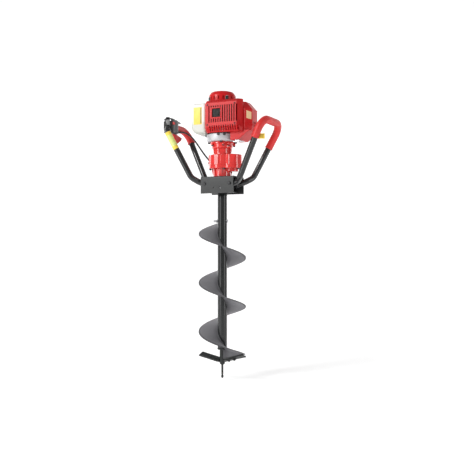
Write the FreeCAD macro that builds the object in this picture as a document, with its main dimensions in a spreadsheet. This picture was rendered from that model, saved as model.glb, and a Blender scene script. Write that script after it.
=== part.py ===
import FreeCAD, Part
import math
import os
import re

import Sketcher
from FreeCAD import Placement, Rotation, Vector

# Powered hand-held auger for boring holes in ice, millimetres.
# Origin: the tip of the pilot point, on the spin axis of the bit. +Z up, -Y is the muffler side
# (front), +X is the cylinder side.

SIZES = {
    # bit
    "point_r": 4.5, "point_height": 14, "pilot_r": 3.8, "pilot_top": 66,
    "core_r": 11, "core_low": 60, "tube_low": 125, "tube_top": 800, "tube_r": 20, "tube_wall": 3,
    "flight_r": 100, "flight_thick": 4, "flight_pitch": 206, "flight_top": 660,
    "blade_length": 84, "blade_width": 30, "blade_thick": 5,
    "cross_bolt_z": 664, "cross_bolt_r": 4, "spindle_low": 630,
    # bracket
    "bracket_w": 152, "bracket_d": 106, "bracket_low": 779, "bracket_top": 850, "plate": 4,
    "accessory_x": 15, "accessory_z": 802, "accessory_r": 3.3, "handle_bolt_z": 820, "handle_bolt_x": 58,
    "handle_bolt_r": 4,
    # gearbox
    "output_r": 10, "output_low": 762, "base_r": 38, "flange_low": 884, "case_low": 897, "case_roof": 930,
    "case_top": 942, "case_r": 56, "case_inner": 52, "gear_centre": 45, "lobe_r": 44, "lobe_inner": 40.5,
    "step_low": 870, "step_r": 27, "neck_r": 37, "neck_top": 967, "bearing_r": 21,
    "small_bearing_r": 14, "small_shaft_r": 6, "fit": 0.04,
    # clutch and fan
    "bell_r": 50, "bell_wall": 4, "bell_top": 996, "drum_r": 41, "drum_low": 977, "drum_top": 993,
    "fan_case_r": 66, "fan_case_wall": 5, "fan_case_top": 1026, "fan_r": 57, "crank_r": 8.5,
    # engine
    "crankcase_x": 40, "crankcase_y": 42, "crankcase_top": 1140, "web_r": 27, "chamber_r": 30,
    "cylinder_z": 1078, "bore_r": 22, "barrel_r": 29, "fin_r": 43, "head_x": 118, "stroke": 34,
    "starter_r": 57, "starter_neck_r": 45, "starter_low": 1140, "starter_bowl": 1164, "starter_top": 1207,
    "cover_left": -46, "cover_right": 110, "cover_front": -86, "cover_back": -50,
    "cover_low": 1031, "cover_top": 1162, "cover_wall": 3, "slot_pitch": 10.6, "slot_width": 5,
    "shroud_left": 48, "shroud_right": 150, "shroud_front": -50, "shroud_back": 54, "shroud_low": 1036,
    "shroud_top": 1155, "shroud_wall": 3,
    "tank_left": -118, "tank_right": -48, "tank_half": 62, "tank_low": 1029, "tank_top": 1159,
    # handles
    "grip_tube_r": 12.5, "grip_tube_wall": 2, "grip_r": 16, "socket_x": 38, "socket_y": 36,
    "socket_z": 812, "elbow_x": 90, "elbow_z": 828, "foot_x": 114, "foot_y": 66, "foot_z": 847,
    "bar_x": 226, "bar_y": 100, "bar_z": 1070, "foot_bend": 35, "bar_bend": 45,
    "cable_r": 3.5,
}

doc = FreeCAD.newDocument("ice_auger")
sheet = doc.addObject("Spreadsheet::Sheet", "Sizes")
for row, (alias, number) in enumerate(SIZES.items(), start=1):
    sheet.set("A%d" % row, alias)
    sheet.set("B%d" % row, str(number))
    sheet.setAlias("B%d" % row, alias)
doc.recompute()

PIECES = []          # the finished sub-parts, in the order they are made
TURN = {"z": Rotation(), "x": Rotation(Vector(0, 1, 0), 90), "y": Rotation(Vector(1, 0, 0), -90)}


def size(alias):
    """The sheet's value for an alias, for the shapes that are worked out in code."""
    return float(getattr(sheet, alias))


def formula(text):
    """An expression with each alias replaced by its cell in the sheet."""
    return re.sub(r"[a-z][a-z_]*", lambda word: "Sizes." + word.group() if word.group() in SIZES
                  else word.group(), str(text))


def piece(obj, label):
    """Names a finished sub-part and puts it on the list of those written out."""
    obj.Label = label
    PIECES.append(obj)
    return obj


# ---------------------------------------------------------------- primitives and booleans

def move(obj, x=0, y=0, z=0, axis="z"):
    obj.Placement = Placement(Vector(), TURN[axis])
    for letter, text in zip("xyz", (x, y, z)):
        obj.setExpression("Placement.Base." + letter, formula(text))
    return obj


def cylinder(radius, height, x=0, y=0, z=0, axis="z"):
    """A cylinder that starts at (x, y, z) and runs along the positive axis."""
    obj = doc.addObject("Part::Cylinder", "rod")
    obj.setExpression("Radius", formula(radius))
    obj.setExpression("Height", formula(height))
    return move(obj, x, y, z, axis)


def box(low, high):
    """A box between two corners whose coordinates are numbers or formulas."""
    obj = doc.addObject("Part::Box", "block")
    for side, start, end in zip(("Length", "Width", "Height"), low, high):
        obj.setExpression(side, formula("(%s) - (%s)" % (end, start)))
    return move(obj, *low)


def cone(low_radius, high_radius, height, x=0, y=0, z=0, axis="z"):
    obj = doc.addObject("Part::Cone", "taper")
    obj.setExpression("Radius1", formula(low_radius))
    obj.setExpression("Radius2", formula(high_radius))
    obj.setExpression("Height", formula(height))
    return move(obj, x, y, z, axis)


def fuse(*shapes):
    obj = doc.addObject("Part::MultiFuse", "joined")
    obj.Shapes = list(shapes)
    obj.Refine = True
    return obj


def cut(base, *tools):
    obj = doc.addObject("Part::Cut", "trimmed")
    obj.Base = base
    obj.Tool = tools[0] if len(tools) == 1 else fuse(*tools)
    obj.Refine = True
    return obj


def group(*shapes):
    """Separate solids that share one node, such as identical fasteners."""
    obj = doc.addObject("Part::Compound", "set")
    obj.Links = list(shapes)
    return obj


def ring(outer, inner, height, x=0, y=0, z=0):
    return cut(cylinder(outer, height, x, y, z), cylinder(inner, height, x, y, z))


def bolt(head_radius, head, radius, length, x, y, z, axis="z", flip=False):
    """A round-headed screw: the head's seat is at (x, y, z), and the shank runs along the axis."""
    back = "-(%s)" % head
    turned = {"x": (1, 0, 0), "y": (0, 1, 0), "z": (0, 0, 1)}[axis]
    start = (x, y, z)
    if flip:
        head_at = start
        shank_at = ["(%s) - (%s)*%d" % (at, length, part) for at, part in zip(start, turned)]
    else:
        head_at = ["(%s) + (%s)*%d" % (at, back, part) for at, part in zip(start, turned)]
        shank_at = start
    return fuse(cylinder(head_radius, head, *head_at, axis), cylinder(radius, length, *shank_at, axis))


# ---------------------------------------------------------------- PartDesign bodies

def plane_of(body, role):
    for feature in body.Origin.OriginFeatures:
        if feature.Role == role:
            return feature
    raise RuntimeError("no plane " + role)


def outline(body, plane, points, offset=0):
    """A closed sketch of straight lines whose corners are bound to numbers or formulas."""
    sketch = body.newObject("Sketcher::SketchObject", "outline")
    sketch.AttachmentSupport = [(plane_of(body, plane), "")]
    sketch.MapMode = "FlatFace"
    sketch.setExpression("AttachmentOffset.Base.z", formula(offset))
    values = [(text_value(x), text_value(y)) for x, y in points]
    corners = [Vector(x, y, 0) for x, y in values]
    count = len(points)
    for i in range(count):
        sketch.addGeometry(Part.LineSegment(corners[i], corners[(i + 1) % count]), False)
    for i in range(count):
        sketch.addConstraint(Sketcher.Constraint("Coincident", i, 2, (i + 1) % count, 1))
    for i, (x, y) in enumerate(points):
        for kind, text, value in (("DistanceX", x, values[i][0]), ("DistanceY", y, values[i][1])):
            index = sketch.addConstraint(Sketcher.Constraint(kind, -1, 1, i, 1, value))
            if isinstance(text, str):
                sketch.setExpression("Constraints[%d]" % index, formula(text))
    return sketch


def text_value(text):
    """The number that a formula of sums, products and aliases gives now."""
    if not isinstance(text, str):
        return float(text)
    probe.setExpression("Height", formula("10000 + (%s)" % text))
    probe.recompute()
    return probe.Height.Value - 10000


probe = doc.addObject("Part::Cylinder", "probe")


def circle_sketch(body, plane, circles, offset=0):
    """A sketch of circles, each (x, y, radius), with centres and radii bound to formulas."""
    sketch = body.newObject("Sketcher::SketchObject", "circles")
    sketch.AttachmentSupport = [(plane_of(body, plane), "")]
    sketch.MapMode = "FlatFace"
    sketch.setExpression("AttachmentOffset.Base.z", formula(offset))
    for i, (x, y, radius) in enumerate(circles):
        centre = Vector(text_value(x), text_value(y), 0)
        sketch.addGeometry(Part.Circle(centre, Vector(0, 0, 1), text_value(radius)), False)
        for kind, text, value in (("DistanceX", x, centre.x), ("DistanceY", y, centre.y)):
            index = sketch.addConstraint(Sketcher.Constraint(kind, -1, 1, i, 3, value))
            sketch.setExpression("Constraints[%d]" % index, formula(text))
        index = sketch.addConstraint(Sketcher.Constraint("Radius", i, text_value(radius)))
        sketch.setExpression("Constraints[%d]" % index, formula(radius))
    return sketch


def turned(points, axis="V_Axis", plane="XZ_Plane"):
    """A body made by turning a closed outline about the sketch's own axis."""
    body = doc.addObject("PartDesign::Body", "body")
    sketch = outline(body, plane, points)
    solid = body.newObject("PartDesign::Revolution", "turning")
    solid.Profile = sketch
    solid.ReferenceAxis = (sketch, [axis])
    solid.Angle = 360
    return body


def padded(plane, points, length, offset=0):
    """A body made by padding a closed outline along its plane's normal."""
    body = doc.addObject("PartDesign::Body", "body")
    solid = body.newObject("PartDesign::Pad", "pad")
    solid.Profile = outline(body, plane, points, offset)
    solid.setExpression("Length", formula(length))
    return body


def pocket(body, sketch, length, reverse=False, both=False):
    """Cuts a sketch out of a body and makes sure that it removed something."""
    doc.recompute()
    before = body.Shape.Volume
    feature = body.newObject("PartDesign::Pocket", "pocket")
    feature.Profile = sketch
    feature.Reversed = reverse
    feature.Midplane = both
    feature.setExpression("Length", formula(length))
    doc.recompute()
    if body.Shape.Volume >= before - 1:
        raise RuntimeError("a pocket in %s cut nothing" % body.Label)
    return feature


def polar(body, feature, count):
    pattern = body.newObject("PartDesign::PolarPattern", "around")
    pattern.Originals = [feature]
    pattern.Axis = (plane_of(body, "Z_Axis"), [""])
    pattern.Angle = 360
    pattern.Occurrences = count
    body.Tip = pattern
    doc.recompute()
    return pattern


def edges_where(body, test):
    """The names of a body's edges whose every vertex passes the test."""
    names = []
    for i, edge in enumerate(body.Shape.Edges, start=1):
        if all(test(vertex.Point) for vertex in edge.Vertexes):
            names.append("Edge%d" % i)
    return names


def dress(body, kind, amount, test):
    """Fillets or chamfers the edges that pass the test."""
    doc.recompute()
    base = body.Tip
    feature = body.newObject("PartDesign::" + kind, kind.lower())
    feature.Base = (base, edges_where(body, test))
    if kind == "Fillet":
        feature.Radius = amount
    else:
        feature.Size = amount
    doc.recompute()
    return feature


# ---------------------------------------------------------------- paths, sweeps, gears

def arc_path(points, radii):
    """Straight runs joined by tangent arcs: one radius for each inner point."""
    edges = []
    start = points[0]
    for before, corner, after, radius in zip(points, points[1:], points[2:], radii):
        back = (before - corner).normalize()
        ahead = (after - corner).normalize()
        half = (math.pi - back.getAngle(ahead)) / 2
        reach = radius * math.tan(half)
        first = corner + back * reach
        last = corner + ahead * reach
        inward = (back + ahead).normalize()
        middle = corner + inward * (radius / math.cos(half) - radius)
        edges.append(Part.makeLine(start, first))
        edges.append(Part.Arc(first, middle, last).toShape())
        start = last
    edges.append(Part.makeLine(start, points[-1]))
    return Part.Wire(edges)


def cord_radii(points, name):
    """The largest arcs that a cord's runs allow, printed for the record."""
    radii = []
    for before, corner, after in zip(points, points[1:], points[2:]):
        shorter = min((before - corner).Length, (after - corner).Length)
        half = (math.pi - (before - corner).getAngle(after - corner)) / 2
        radii.append(0.45 * shorter / math.tan(half))
    print(name, "arc radii:", " ".join("%.0f" % radius for radius in radii))
    return radii


def tube_along(wire, outer, inner=0):
    """A round tube or rod along a wire of lines and arcs."""
    start = wire.Edges[0]
    at = start.valueAt(start.FirstParameter)
    along = start.tangentAt(start.FirstParameter)

    def rod(radius):
        section = Part.Wire(Part.makeCircle(radius, at, along))
        return wire.makePipeShell([section], True, False)

    solid = rod(outer)
    if inner:
        solid = solid.cut(rod(inner))
    expected = math.pi * (outer ** 2 - inner ** 2) * wire.Length
    if abs(solid.Volume / expected - 1) > 0.02:
        raise RuntimeError("a swept tube has the wrong volume")
    return solid


def feature(label, shape, placement=Placement()):
    """A sub-part whose shape is worked out in code, and then put in its place."""
    obj = doc.addObject("Part::Feature", label)
    obj.Shape = shape
    obj.Placement = placement
    return piece(obj, label)


def gear_wheel(teeth, module, bore, low, height, x=0, first_tooth=0.0):
    """An involute spur gear, its first tooth centred at an angle in radians."""
    pressure = math.radians(20)
    pitch_r = teeth * module / 2
    base_r = pitch_r * math.cos(pressure)
    tip_r = pitch_r + 0.75 * module
    root_r = pitch_r - 1.05 * module
    play = 0.09 / pitch_r
    half = math.pi / (2 * teeth) - play + math.tan(pressure) - pressure
    steps = 4

    def flank(radius):
        roll = math.sqrt(max((radius / base_r) ** 2 - 1, 0))
        return half - (roll - math.atan(roll))

    lowest = max(base_r, root_r)
    radii = [lowest + (tip_r - lowest) * i / steps for i in range(steps + 1)]
    side = [(root_r, flank(lowest))] + [(radius, flank(radius)) for radius in radii]
    corners = []
    for tooth in range(teeth):
        centre = first_tooth + 2 * math.pi * tooth / teeth
        for radius, angle in [(r, -a) for r, a in side] + [(r, a) for r, a in reversed(side)]:
            turn = centre + angle
            corners.append(Vector(x + radius * math.cos(turn), radius * math.sin(turn), low))
    rim = Part.makePolygon(corners + [corners[0]])
    solid = Part.Face(rim).extrude(Vector(0, 0, height))
    return solid.cut(Part.makeCylinder(bore, height, Vector(x, 0, low)))


# ---------------------------------------------------------------- the bit

def make_bit():
    tube = turned([("tube_r - tube_wall", "tube_low"), ("tube_r", "tube_low"),
                   ("tube_r", "tube_top"), ("tube_r - tube_wall", "tube_top")])
    holes = circle_sketch(tube, "YZ_Plane", [(0, "cross_bolt_z", "cross_bolt_r")])
    pocket(tube, holes, "4 * tube_r", both=True)
    piece(tube, "auger_tube")

    core = turned([(0, "pilot_top"), ("pilot_r", "pilot_top"), ("pilot_r", "core_low"),
                   ("core_r - 2", "core_low"), ("core_r", "core_low + 3"), ("core_r", "tube_low"),
                   ("tube_r - tube_wall", "tube_low"), ("tube_r - tube_wall", "tube_low + 18"),
                   (0, "tube_low + 18")])

    point = turned([(0, 0), ("point_r", 6), ("point_r", 10), ("pilot_r - 0.8", "point_height"),
                    ("pilot_r", "point_height + 4"), ("pilot_r", "pilot_top"), (0, "pilot_top")])
    piece(point, "pilot_point")

    make_flight()
    piece(fuse(core, make_blades()), "cutter_head")

    spindle = cut(cylinder("tube_r - tube_wall - 0.02", "tube_top - spindle_low", z="spindle_low"),
                  cylinder("output_r", "tube_top - output_low", z="output_low"),
                  cylinder("cross_bolt_r", "4 * tube_r", "-2 * tube_r", 0, "cross_bolt_z", "x"))
    piece(spindle, "drive_spindle")
    cross_bolt = bolt(7.5, 6.5, "cross_bolt_r", "2 * tube_r + 14", "tube_r + 0.1", 0, "cross_bolt_z", "x",
                      flip=True)
    piece(cross_bolt, "shaft_cross_bolt")
    piece(cut(cylinder(7.5, 6.5, "-tube_r - 6.6", 0, "cross_bolt_z", "x"),
              cylinder("cross_bolt_r", 20, "-tube_r - 12", 0, "cross_bolt_z", "x")), "cross_bolt_nut")


FLIGHT_LEFT = 205.0     # the direction, in degrees, at which the flight passes z = 609
FLIGHT_LEFT_Z = 609.0
FLIGHT_END = 1090.0     # the direction at which the flight meets the right-hand blade


def make_flight():
    """A left-handed helical plate: it falls as its direction turns anticlockwise."""
    pitch = size("flight_pitch")
    inner = size("tube_r") + 0.05
    outer = size("flight_r")
    start = FLIGHT_LEFT - (size("flight_top") - FLIGHT_LEFT_Z) * 360 / pitch
    fall = (FLIGHT_END - start) / 360 * pitch
    low = size("flight_top") - fall
    spine = Part.makeHelix(pitch, fall, outer, 0, True)
    thick = size("flight_thick")
    section = Part.makePolygon([Vector(inner, 0, 0), Vector(outer, 0, 0), Vector(outer, 0, thick),
                                Vector(inner, 0, thick), Vector(inner, 0, 0)])
    sweep = Part.BRepOffsetAPI.MakePipeShell(Part.Wire(spine))
    sweep.setFrenetMode(True)
    sweep.add(section)
    sweep.build()
    sweep.makeSolid()
    shape = sweep.shape()
    if shape.Volume < 0:
        shape.reverse()
    feature("flight", shape, Placement(Vector(0, 0, low), Rotation(Vector(0, 0, 1), FLIGHT_END)))


BLADE_DIRECTIONS = (7, 187)


def make_blades():
    """Two flat cutters, their cutting edges leading anticlockwise and downwards; returns their arms."""
    body = padded("XY_Plane", [(0, "-blade_width/2"), ("blade_length", "-blade_width/2"),
                               ("blade_length + 5", "blade_width/2"), (0, "blade_width/2")], "blade_thick")
    half = size("blade_width") / 2
    dress(body, "Chamfer", size("blade_thick") * 0.6,
          lambda point: point.y > half - 0.1 and point.z > size("blade_thick") - 0.1)
    doc.recompute()
    inner_r = size("core_r") + 3.2
    blades = []
    bolts = []
    arms = []
    for direction in BLADE_DIRECTIONS:
        frame = Placement(Vector(0, 0, 76), Rotation(Vector(0, 0, 1), direction))
        tilt = Placement(Vector(inner_r, 0, 0), Rotation(Vector(0, 1, 0), -14))
        rake = Placement(Vector(), Rotation(Vector(1, 0, 0), -26))
        where = frame.multiply(tilt).multiply(rake)
        blade = body.Shape.copy()
        for along in (16, 40):
            hole = Part.makeCylinder(3, 20, Vector(along, 0, -8))
            blade = blade.cut(hole)
            top = size("blade_thick")
            screw = Part.makeCylinder(5.5, 3.5, Vector(along, 0, top))
            screw = screw.fuse(Part.makeCylinder(3, top + 4, Vector(along, 0, -4)))
            screw = screw.fuse(Part.makeCylinder(5, 4, Vector(along, 0, -8)))
            placed = screw.copy()
            placed.Placement = where
            bolts.append(placed)
        arm = Part.makeBox(52, 16, 3.9, Vector(-6, -8, -3.95))
        for along in (16, 40):
            arm = arm.cut(Part.makeCylinder(3, 20, Vector(along, 0, -8)))
        arm.Placement = where
        arms.append(arm)
        blade.Placement = where
        blades.append(blade)
    feature("cutting_blades", Part.makeCompound(blades))
    feature("blade_bolts", Part.makeCompound(bolts))
    joined = doc.addObject("Part::Feature", "arms")
    joined.Shape = Part.makeCompound(arms)
    return joined


# ---------------------------------------------------------------- the bracket and the handles

def make_bracket():
    half_d = "bracket_d/2"
    bracket = padded("YZ_Plane", [("-" + half_d, "bracket_low"), ("-%s + plate" % half_d, "bracket_low"),
                                  ("-%s + plate" % half_d, "bracket_top - plate"),
                                  (half_d + " - plate", "bracket_top - plate"),
                                  (half_d + " - plate", "bracket_low"), (half_d, "bracket_low"),
                                  (half_d, "bracket_top"), ("-" + half_d, "bracket_top")],
                     "bracket_w", "-bracket_w/2")
    depth = size("bracket_d") / 2
    top = size("bracket_top")
    dress(bracket, "Fillet", 3, lambda point: abs(point.z - top) < 0.1 and abs(abs(point.y) - depth) < 0.1)
    middle = circle_sketch(bracket, "XY_Plane", [(0, 0, "output_r + 14")])
    pocket(bracket, middle, "bracket_top + 5", reverse=True)
    holes = circle_sketch(bracket, "XZ_Plane", [("handle_bolt_x", "handle_bolt_z", "handle_bolt_r + 0.3"),
                                                ("-handle_bolt_x", "handle_bolt_z", "handle_bolt_r + 0.3")])
    pocket(bracket, holes, "bracket_d + 10", both=True)
    spare = circle_sketch(bracket, "XZ_Plane", [("accessory_x", "accessory_z", "accessory_r"),
                                                ("-accessory_x", "accessory_z", "accessory_r")])
    pocket(bracket, spare, "bracket_d", reverse=True)
    piece(bracket, "mounting_bracket")
    inside = "bracket_d/2 - plate"
    guide = cut(box(("-bracket_w/2 + 26", "-(%s)" % inside, "bracket_low + 5"),
                    ("bracket_w/2 - 26", inside, "bracket_low + 9")),
                cylinder("tube_r + 5", 20, z="bracket_low"))
    piece(guide, "bracket_base_plate")

    bolts = []
    nuts = []
    for side in ("", "-"):
        x = side + "handle_bolt_x"
        bolts.append(bolt(7, 5.5, "handle_bolt_r", 38, x, "-bracket_d/2", "handle_bolt_z", "y"))
        bolts.append(bolt(7, 5.5, "handle_bolt_r", 38, x, "bracket_d/2", "handle_bolt_z", "y", flip=True))
        for start in ("-bracket_d/2 + 29.6", "bracket_d/2 - 35.6"):
            nuts.append(cut(cylinder(7, 6, x, start, "handle_bolt_z", "y"),
                            cylinder("handle_bolt_r", 6, x, start, "handle_bolt_z", "y")))
    piece(group(*bolts), "handle_bolts")
    piece(group(*nuts), "handle_nuts")


def handle_points(side):
    """One handle loop's route: bracket, elbow, foot, front corner, then the same at the back."""
    front = [Vector(side * size("socket_x"), -size("socket_y"), size("socket_z")),
             Vector(side * size("elbow_x"), -size("socket_y"), size("elbow_z")),
             Vector(side * size("foot_x"), -size("foot_y"), size("foot_z")),
             Vector(side * size("bar_x"), -size("bar_y"), size("bar_z"))]
    back = [Vector(point.x, -point.y, point.z) for point in reversed(front)]
    return front + back


def on_leg(side, end, height):
    """The point of a handle's front (end -1) or back (end 1) leg at a height."""
    foot = Vector(side * size("foot_x"), end * size("foot_y"), size("foot_z"))
    corner = Vector(side * size("bar_x"), end * size("bar_y"), size("bar_z"))
    return foot + (corner - foot) * ((height - foot.z) / (corner.z - foot.z))


def make_handles():
    tube = size("grip_tube_r")
    grip = size("grip_r")
    bend = size("bar_bend")
    radii = [size("foot_bend")] * 2 + [bend, bend] + [size("foot_bend")] * 2
    for side, name in ((-1, "left"), (1, "right")):
        path = arc_path(handle_points(side), radii)
        shape = tube_along(path, tube, tube - size("grip_tube_wall"))
        for end in (-1, 1):
            drill = Part.makeCylinder(size("handle_bolt_r") + 0.1, 40,
                                      Vector(side * size("handle_bolt_x"), end * size("socket_y") - 20,
                                             size("handle_bolt_z")), Vector(0, 1, 0))
            shape = shape.cut(drill)
        feature("handle_tube_" + name, shape)
    corner = [Vector(size("bar_x"), y, size("bar_z")) for y in (-size("bar_y"), size("bar_y"))]
    right = arc_path([on_leg(1, -1, 997)] + corner + [on_leg(1, 1, 970)], [bend, bend])
    feature("grip_right", tube_along(right, grip, tube + 0.05))
    start = Vector(-size("bar_x"), GRIP_START, size("bar_z"))
    rear = Vector(-size("bar_x"), size("bar_y"), size("bar_z"))
    left = arc_path([start, rear, on_leg(-1, 1, 1014)], [bend])
    feature("grip_left", tube_along(left, grip, tube + 0.05))


GRIP_START = -10.0      # where the left grip begins on its bar, behind the throttle housing


# ---------------------------------------------------------------- the throttle control

def make_throttle():
    """A two-part housing clamped on the left bar, with a trigger, a lockout and a switch."""
    x = "-bar_x"
    low = ("-(bar_x) - 22", -74, "bar_z - 30")
    parting = -43
    tube = cylinder("grip_tube_r + 0.02", 120, x, -100, "bar_z", "y")
    trigger_room = box(("-bar_x - 6", -40, "bar_z - 31"), ("-bar_x + 6", -11, "bar_z - 14"))
    lock_room = box(("-bar_x - 5", -36, "bar_z + 16"), ("-bar_x + 5", -11, "bar_z + 40"))
    front = doc.addObject("Part::Fillet", "front_round")
    blank = box(low, ("-bar_x + 22", parting, "bar_z + 36"))
    doc.recompute()
    front.Base = blank
    front.Edges = [(i, 9, 9) for i, edge in enumerate(blank.Shape.Edges, start=1)
                   if all(vertex.Point.y < -73 for vertex in edge.Vertexes)]
    # the crossbar's bend starts inside the front shell, so its mouth is opened wider
    mouth = tube_space()
    piece(cut(front, mouth), "throttle_housing_front")
    rear = box(("-bar_x - 20", parting, "bar_z - 28"), ("-bar_x + 20", -11, "bar_z + 34"))
    pins = [cylinder(PIN_R, 14, "-bar_x - 7", y, "bar_z + %s" % z, "x")
            for y, z in (TRIGGER_PIVOT, LOCK_PIVOT)]
    piece(fuse(cut(rear, tube, trigger_room, lock_room), *pins), "throttle_housing_rear")

    half = 5.2
    trigger = padded("YZ_Plane", [(-36, "bar_z - 20"), (-22, "bar_z - 20"), (-6, "bar_z - 25"),
                                  (44, "bar_z - 36"), (40, "bar_z - 45"), (12, "bar_z - 64"),
                                  (-2, "bar_z - 66"), (-10, "bar_z - 50"), (-22, "bar_z - 32"),
                                  (-36, "bar_z - 29")],
                     2 * half, "-bar_x - %s" % half)
    pivot_hole(trigger, TRIGGER_PIVOT)
    piece(trigger, "throttle_trigger")
    lock = padded("YZ_Plane", [(-34, "bar_z + 24"), (-12, "bar_z + 24"), (34, "bar_z + 25"),
                               (36, "bar_z + 29"), (10, "bar_z + 34"), (-12, "bar_z + 37"),
                               (-34, "bar_z + 32")],
                  9, "-bar_x - 4.5")
    pivot_hole(lock, LOCK_PIVOT)
    piece(lock, "lockout_lever")
    switch = padded("YZ_Plane", [(-66, "bar_z + 8"), (-52, "bar_z + 8"), (-52, "bar_z + 20"),
                                 (-59, "bar_z + 17"), (-66, "bar_z + 20")], 4, "-bar_x + 22.3")
    piece(switch, "ignition_switch")


PIN_R = 1.4                     # the pins that the trigger and the lockout turn on
TRIGGER_PIVOT = (-30, -24.5)    # each pivot's y, and its height above the bar
LOCK_PIVOT = (-29, 28)


def pivot_hole(lever, pivot):
    y, z = pivot
    hole = circle_sketch(lever, "YZ_Plane", [(y, "bar_z + %s" % z, PIN_R + 0.2)])
    pocket(lever, hole, "bar_x + 50")


def tube_space():
    """The room that the left handle takes inside the front shell."""
    obj = doc.addObject("Part::Feature", "handle_room")
    radii = [size("foot_bend")] * 2 + [size("bar_bend")] * 2 + [size("foot_bend")] * 2
    obj.Shape = tube_along(arc_path(handle_points(-1), radii), size("grip_tube_r") + 0.3)
    return obj


CABLE_ROUTE = [(-211, -11, 1052), (-208, 17, 1056), (-199, 43, 1055), (-182, 62, 1040),
               (-161, 72, 1010), (-139, 77, 977), (-116, 80, 946), (-90, 84, 919),
               (-58, 89, 903), (-31, 92, 903), (-12, 90, 922), (-8, 84, 951),
               (0, 77, 981), (12, 72, 1009), (24, 67.5, 1031), (26, 66, 1044)]


def make_cable():
    """The throttle cable, hanging in a loop from the housing to the carburettor."""
    route = [Vector(*point) for point in CABLE_ROUTE]
    path = arc_path(route, cord_radii(route, "throttle_cable"))
    feature("throttle_cable", tube_along(path, size("cable_r")))
    print("throttle_cable length: %.0f" % path.Length)


# ---------------------------------------------------------------- the gearbox and the clutch

OUTPUT_TEETH, LAY_PINION_TEETH = 48, 12      # module 1.5 mm
LAY_TEETH, INPUT_TEETH = 77, 13              # module 1.0 mm


def make_gearbox():
    centre = "gear_centre"
    solid = fuse(cylinder("base_r", "case_low - bracket_top", z="bracket_top"),
                 cylinder("case_r", "case_low - flange_low", z="flange_low"),
                 cylinder("lobe_r", "case_low - flange_low", centre, 0, "flange_low"),
                 cylinder("step_r", "case_low - step_low", centre, 0, "step_low"))
    piece(cut(solid, cylinder("output_r + 1", 60, z="bracket_top - 1"),
              cylinder("bearing_r", 60, z="bracket_top + 3"),
              cylinder("small_bearing_r", 20, centre, 0, "case_low - 11"),
              cylinder("small_shaft_r + 1", 20, centre, 0, "case_low - 14")), "gearbox_base")

    outer = fuse(cylinder("case_r", "case_top - case_low", z="case_low"),
                 cylinder("lobe_r", "case_top - case_low", centre, 0, "case_low"),
                 cylinder("neck_r", "neck_top - case_top", z="case_top"))
    room = fuse(cylinder("case_inner", "case_roof - case_low", z="case_low"),
                cylinder("lobe_inner", "case_roof - case_low", centre, 0, "case_low"))
    piece(cut(outer, room, cylinder("small_bearing_r", 8, centre, 0, "case_roof"),
              cylinder("small_shaft_r + 1", 50, z="case_roof - 1"),
              cylinder("small_bearing_r", 30, z="case_top + 4")), "gearbox_case")

    piece(group(ring("bearing_r", "output_r + fit", 12, z="bracket_top + 9"),
                ring("bearing_r", "output_r + fit", 12, z="case_low - 13")), "output_bearings")
    piece(group(ring("small_bearing_r", "small_shaft_r + fit", 8, centre, 0, "case_low - 11"),
                ring("small_bearing_r", "small_shaft_r + fit", 8, centre, 0, "case_roof")), "lay_bearings")
    piece(group(ring("small_bearing_r", "small_shaft_r + fit", 8, z="case_top + 4"),
                ring("small_bearing_r", "small_shaft_r + fit", 8, z="neck_top - 9")), "input_bearings")
    piece(ring("bearing_r", "output_r + fit", 6, z="bracket_top + 3"), "output_seal")

    mesh = size("gear_centre")
    low = size("case_low") + 2
    piece(cylinder("output_r", "case_low + 14 - output_low", z="output_low"), "output_shaft")
    feature("output_gear", gear_wheel(OUTPUT_TEETH, 1.5, size("output_r"), low, 11))
    shaft_r = size("small_shaft_r")
    pinion = gear_wheel(LAY_PINION_TEETH, 1.5, shaft_r, low, 11, mesh, math.pi * (1 + 1 / LAY_PINION_TEETH))
    wheel = gear_wheel(LAY_TEETH, 1.0, shaft_r, low + 16, 9, mesh, math.pi * (1 + 1 / LAY_TEETH))
    collar = Part.makeCylinder(shaft_r + 2, 5, Vector(mesh, 0, low + 11))
    collar = collar.cut(Part.makeCylinder(shaft_r, 5, Vector(mesh, 0, low + 11)))
    feature("lay_gear_cluster", pinion.fuse([collar, wheel]))
    lay_shaft = cylinder("small_shaft_r", "case_roof - case_low + 17", centre, 0, "case_low - 10")
    piece(lay_shaft, "lay_shaft")
    top = size("drum_low") + 3
    tip = gear_wheel(INPUT_TEETH, 1.0, 2, low + 15, 11)
    stem = Part.makeCylinder(shaft_r, top - low - 26, Vector(0, 0, low + 26))
    core = Part.makeCylinder(2, 11, Vector(0, 0, low + 15))
    feature("input_pinion_shaft", stem.fuse([tip, core]))


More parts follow.
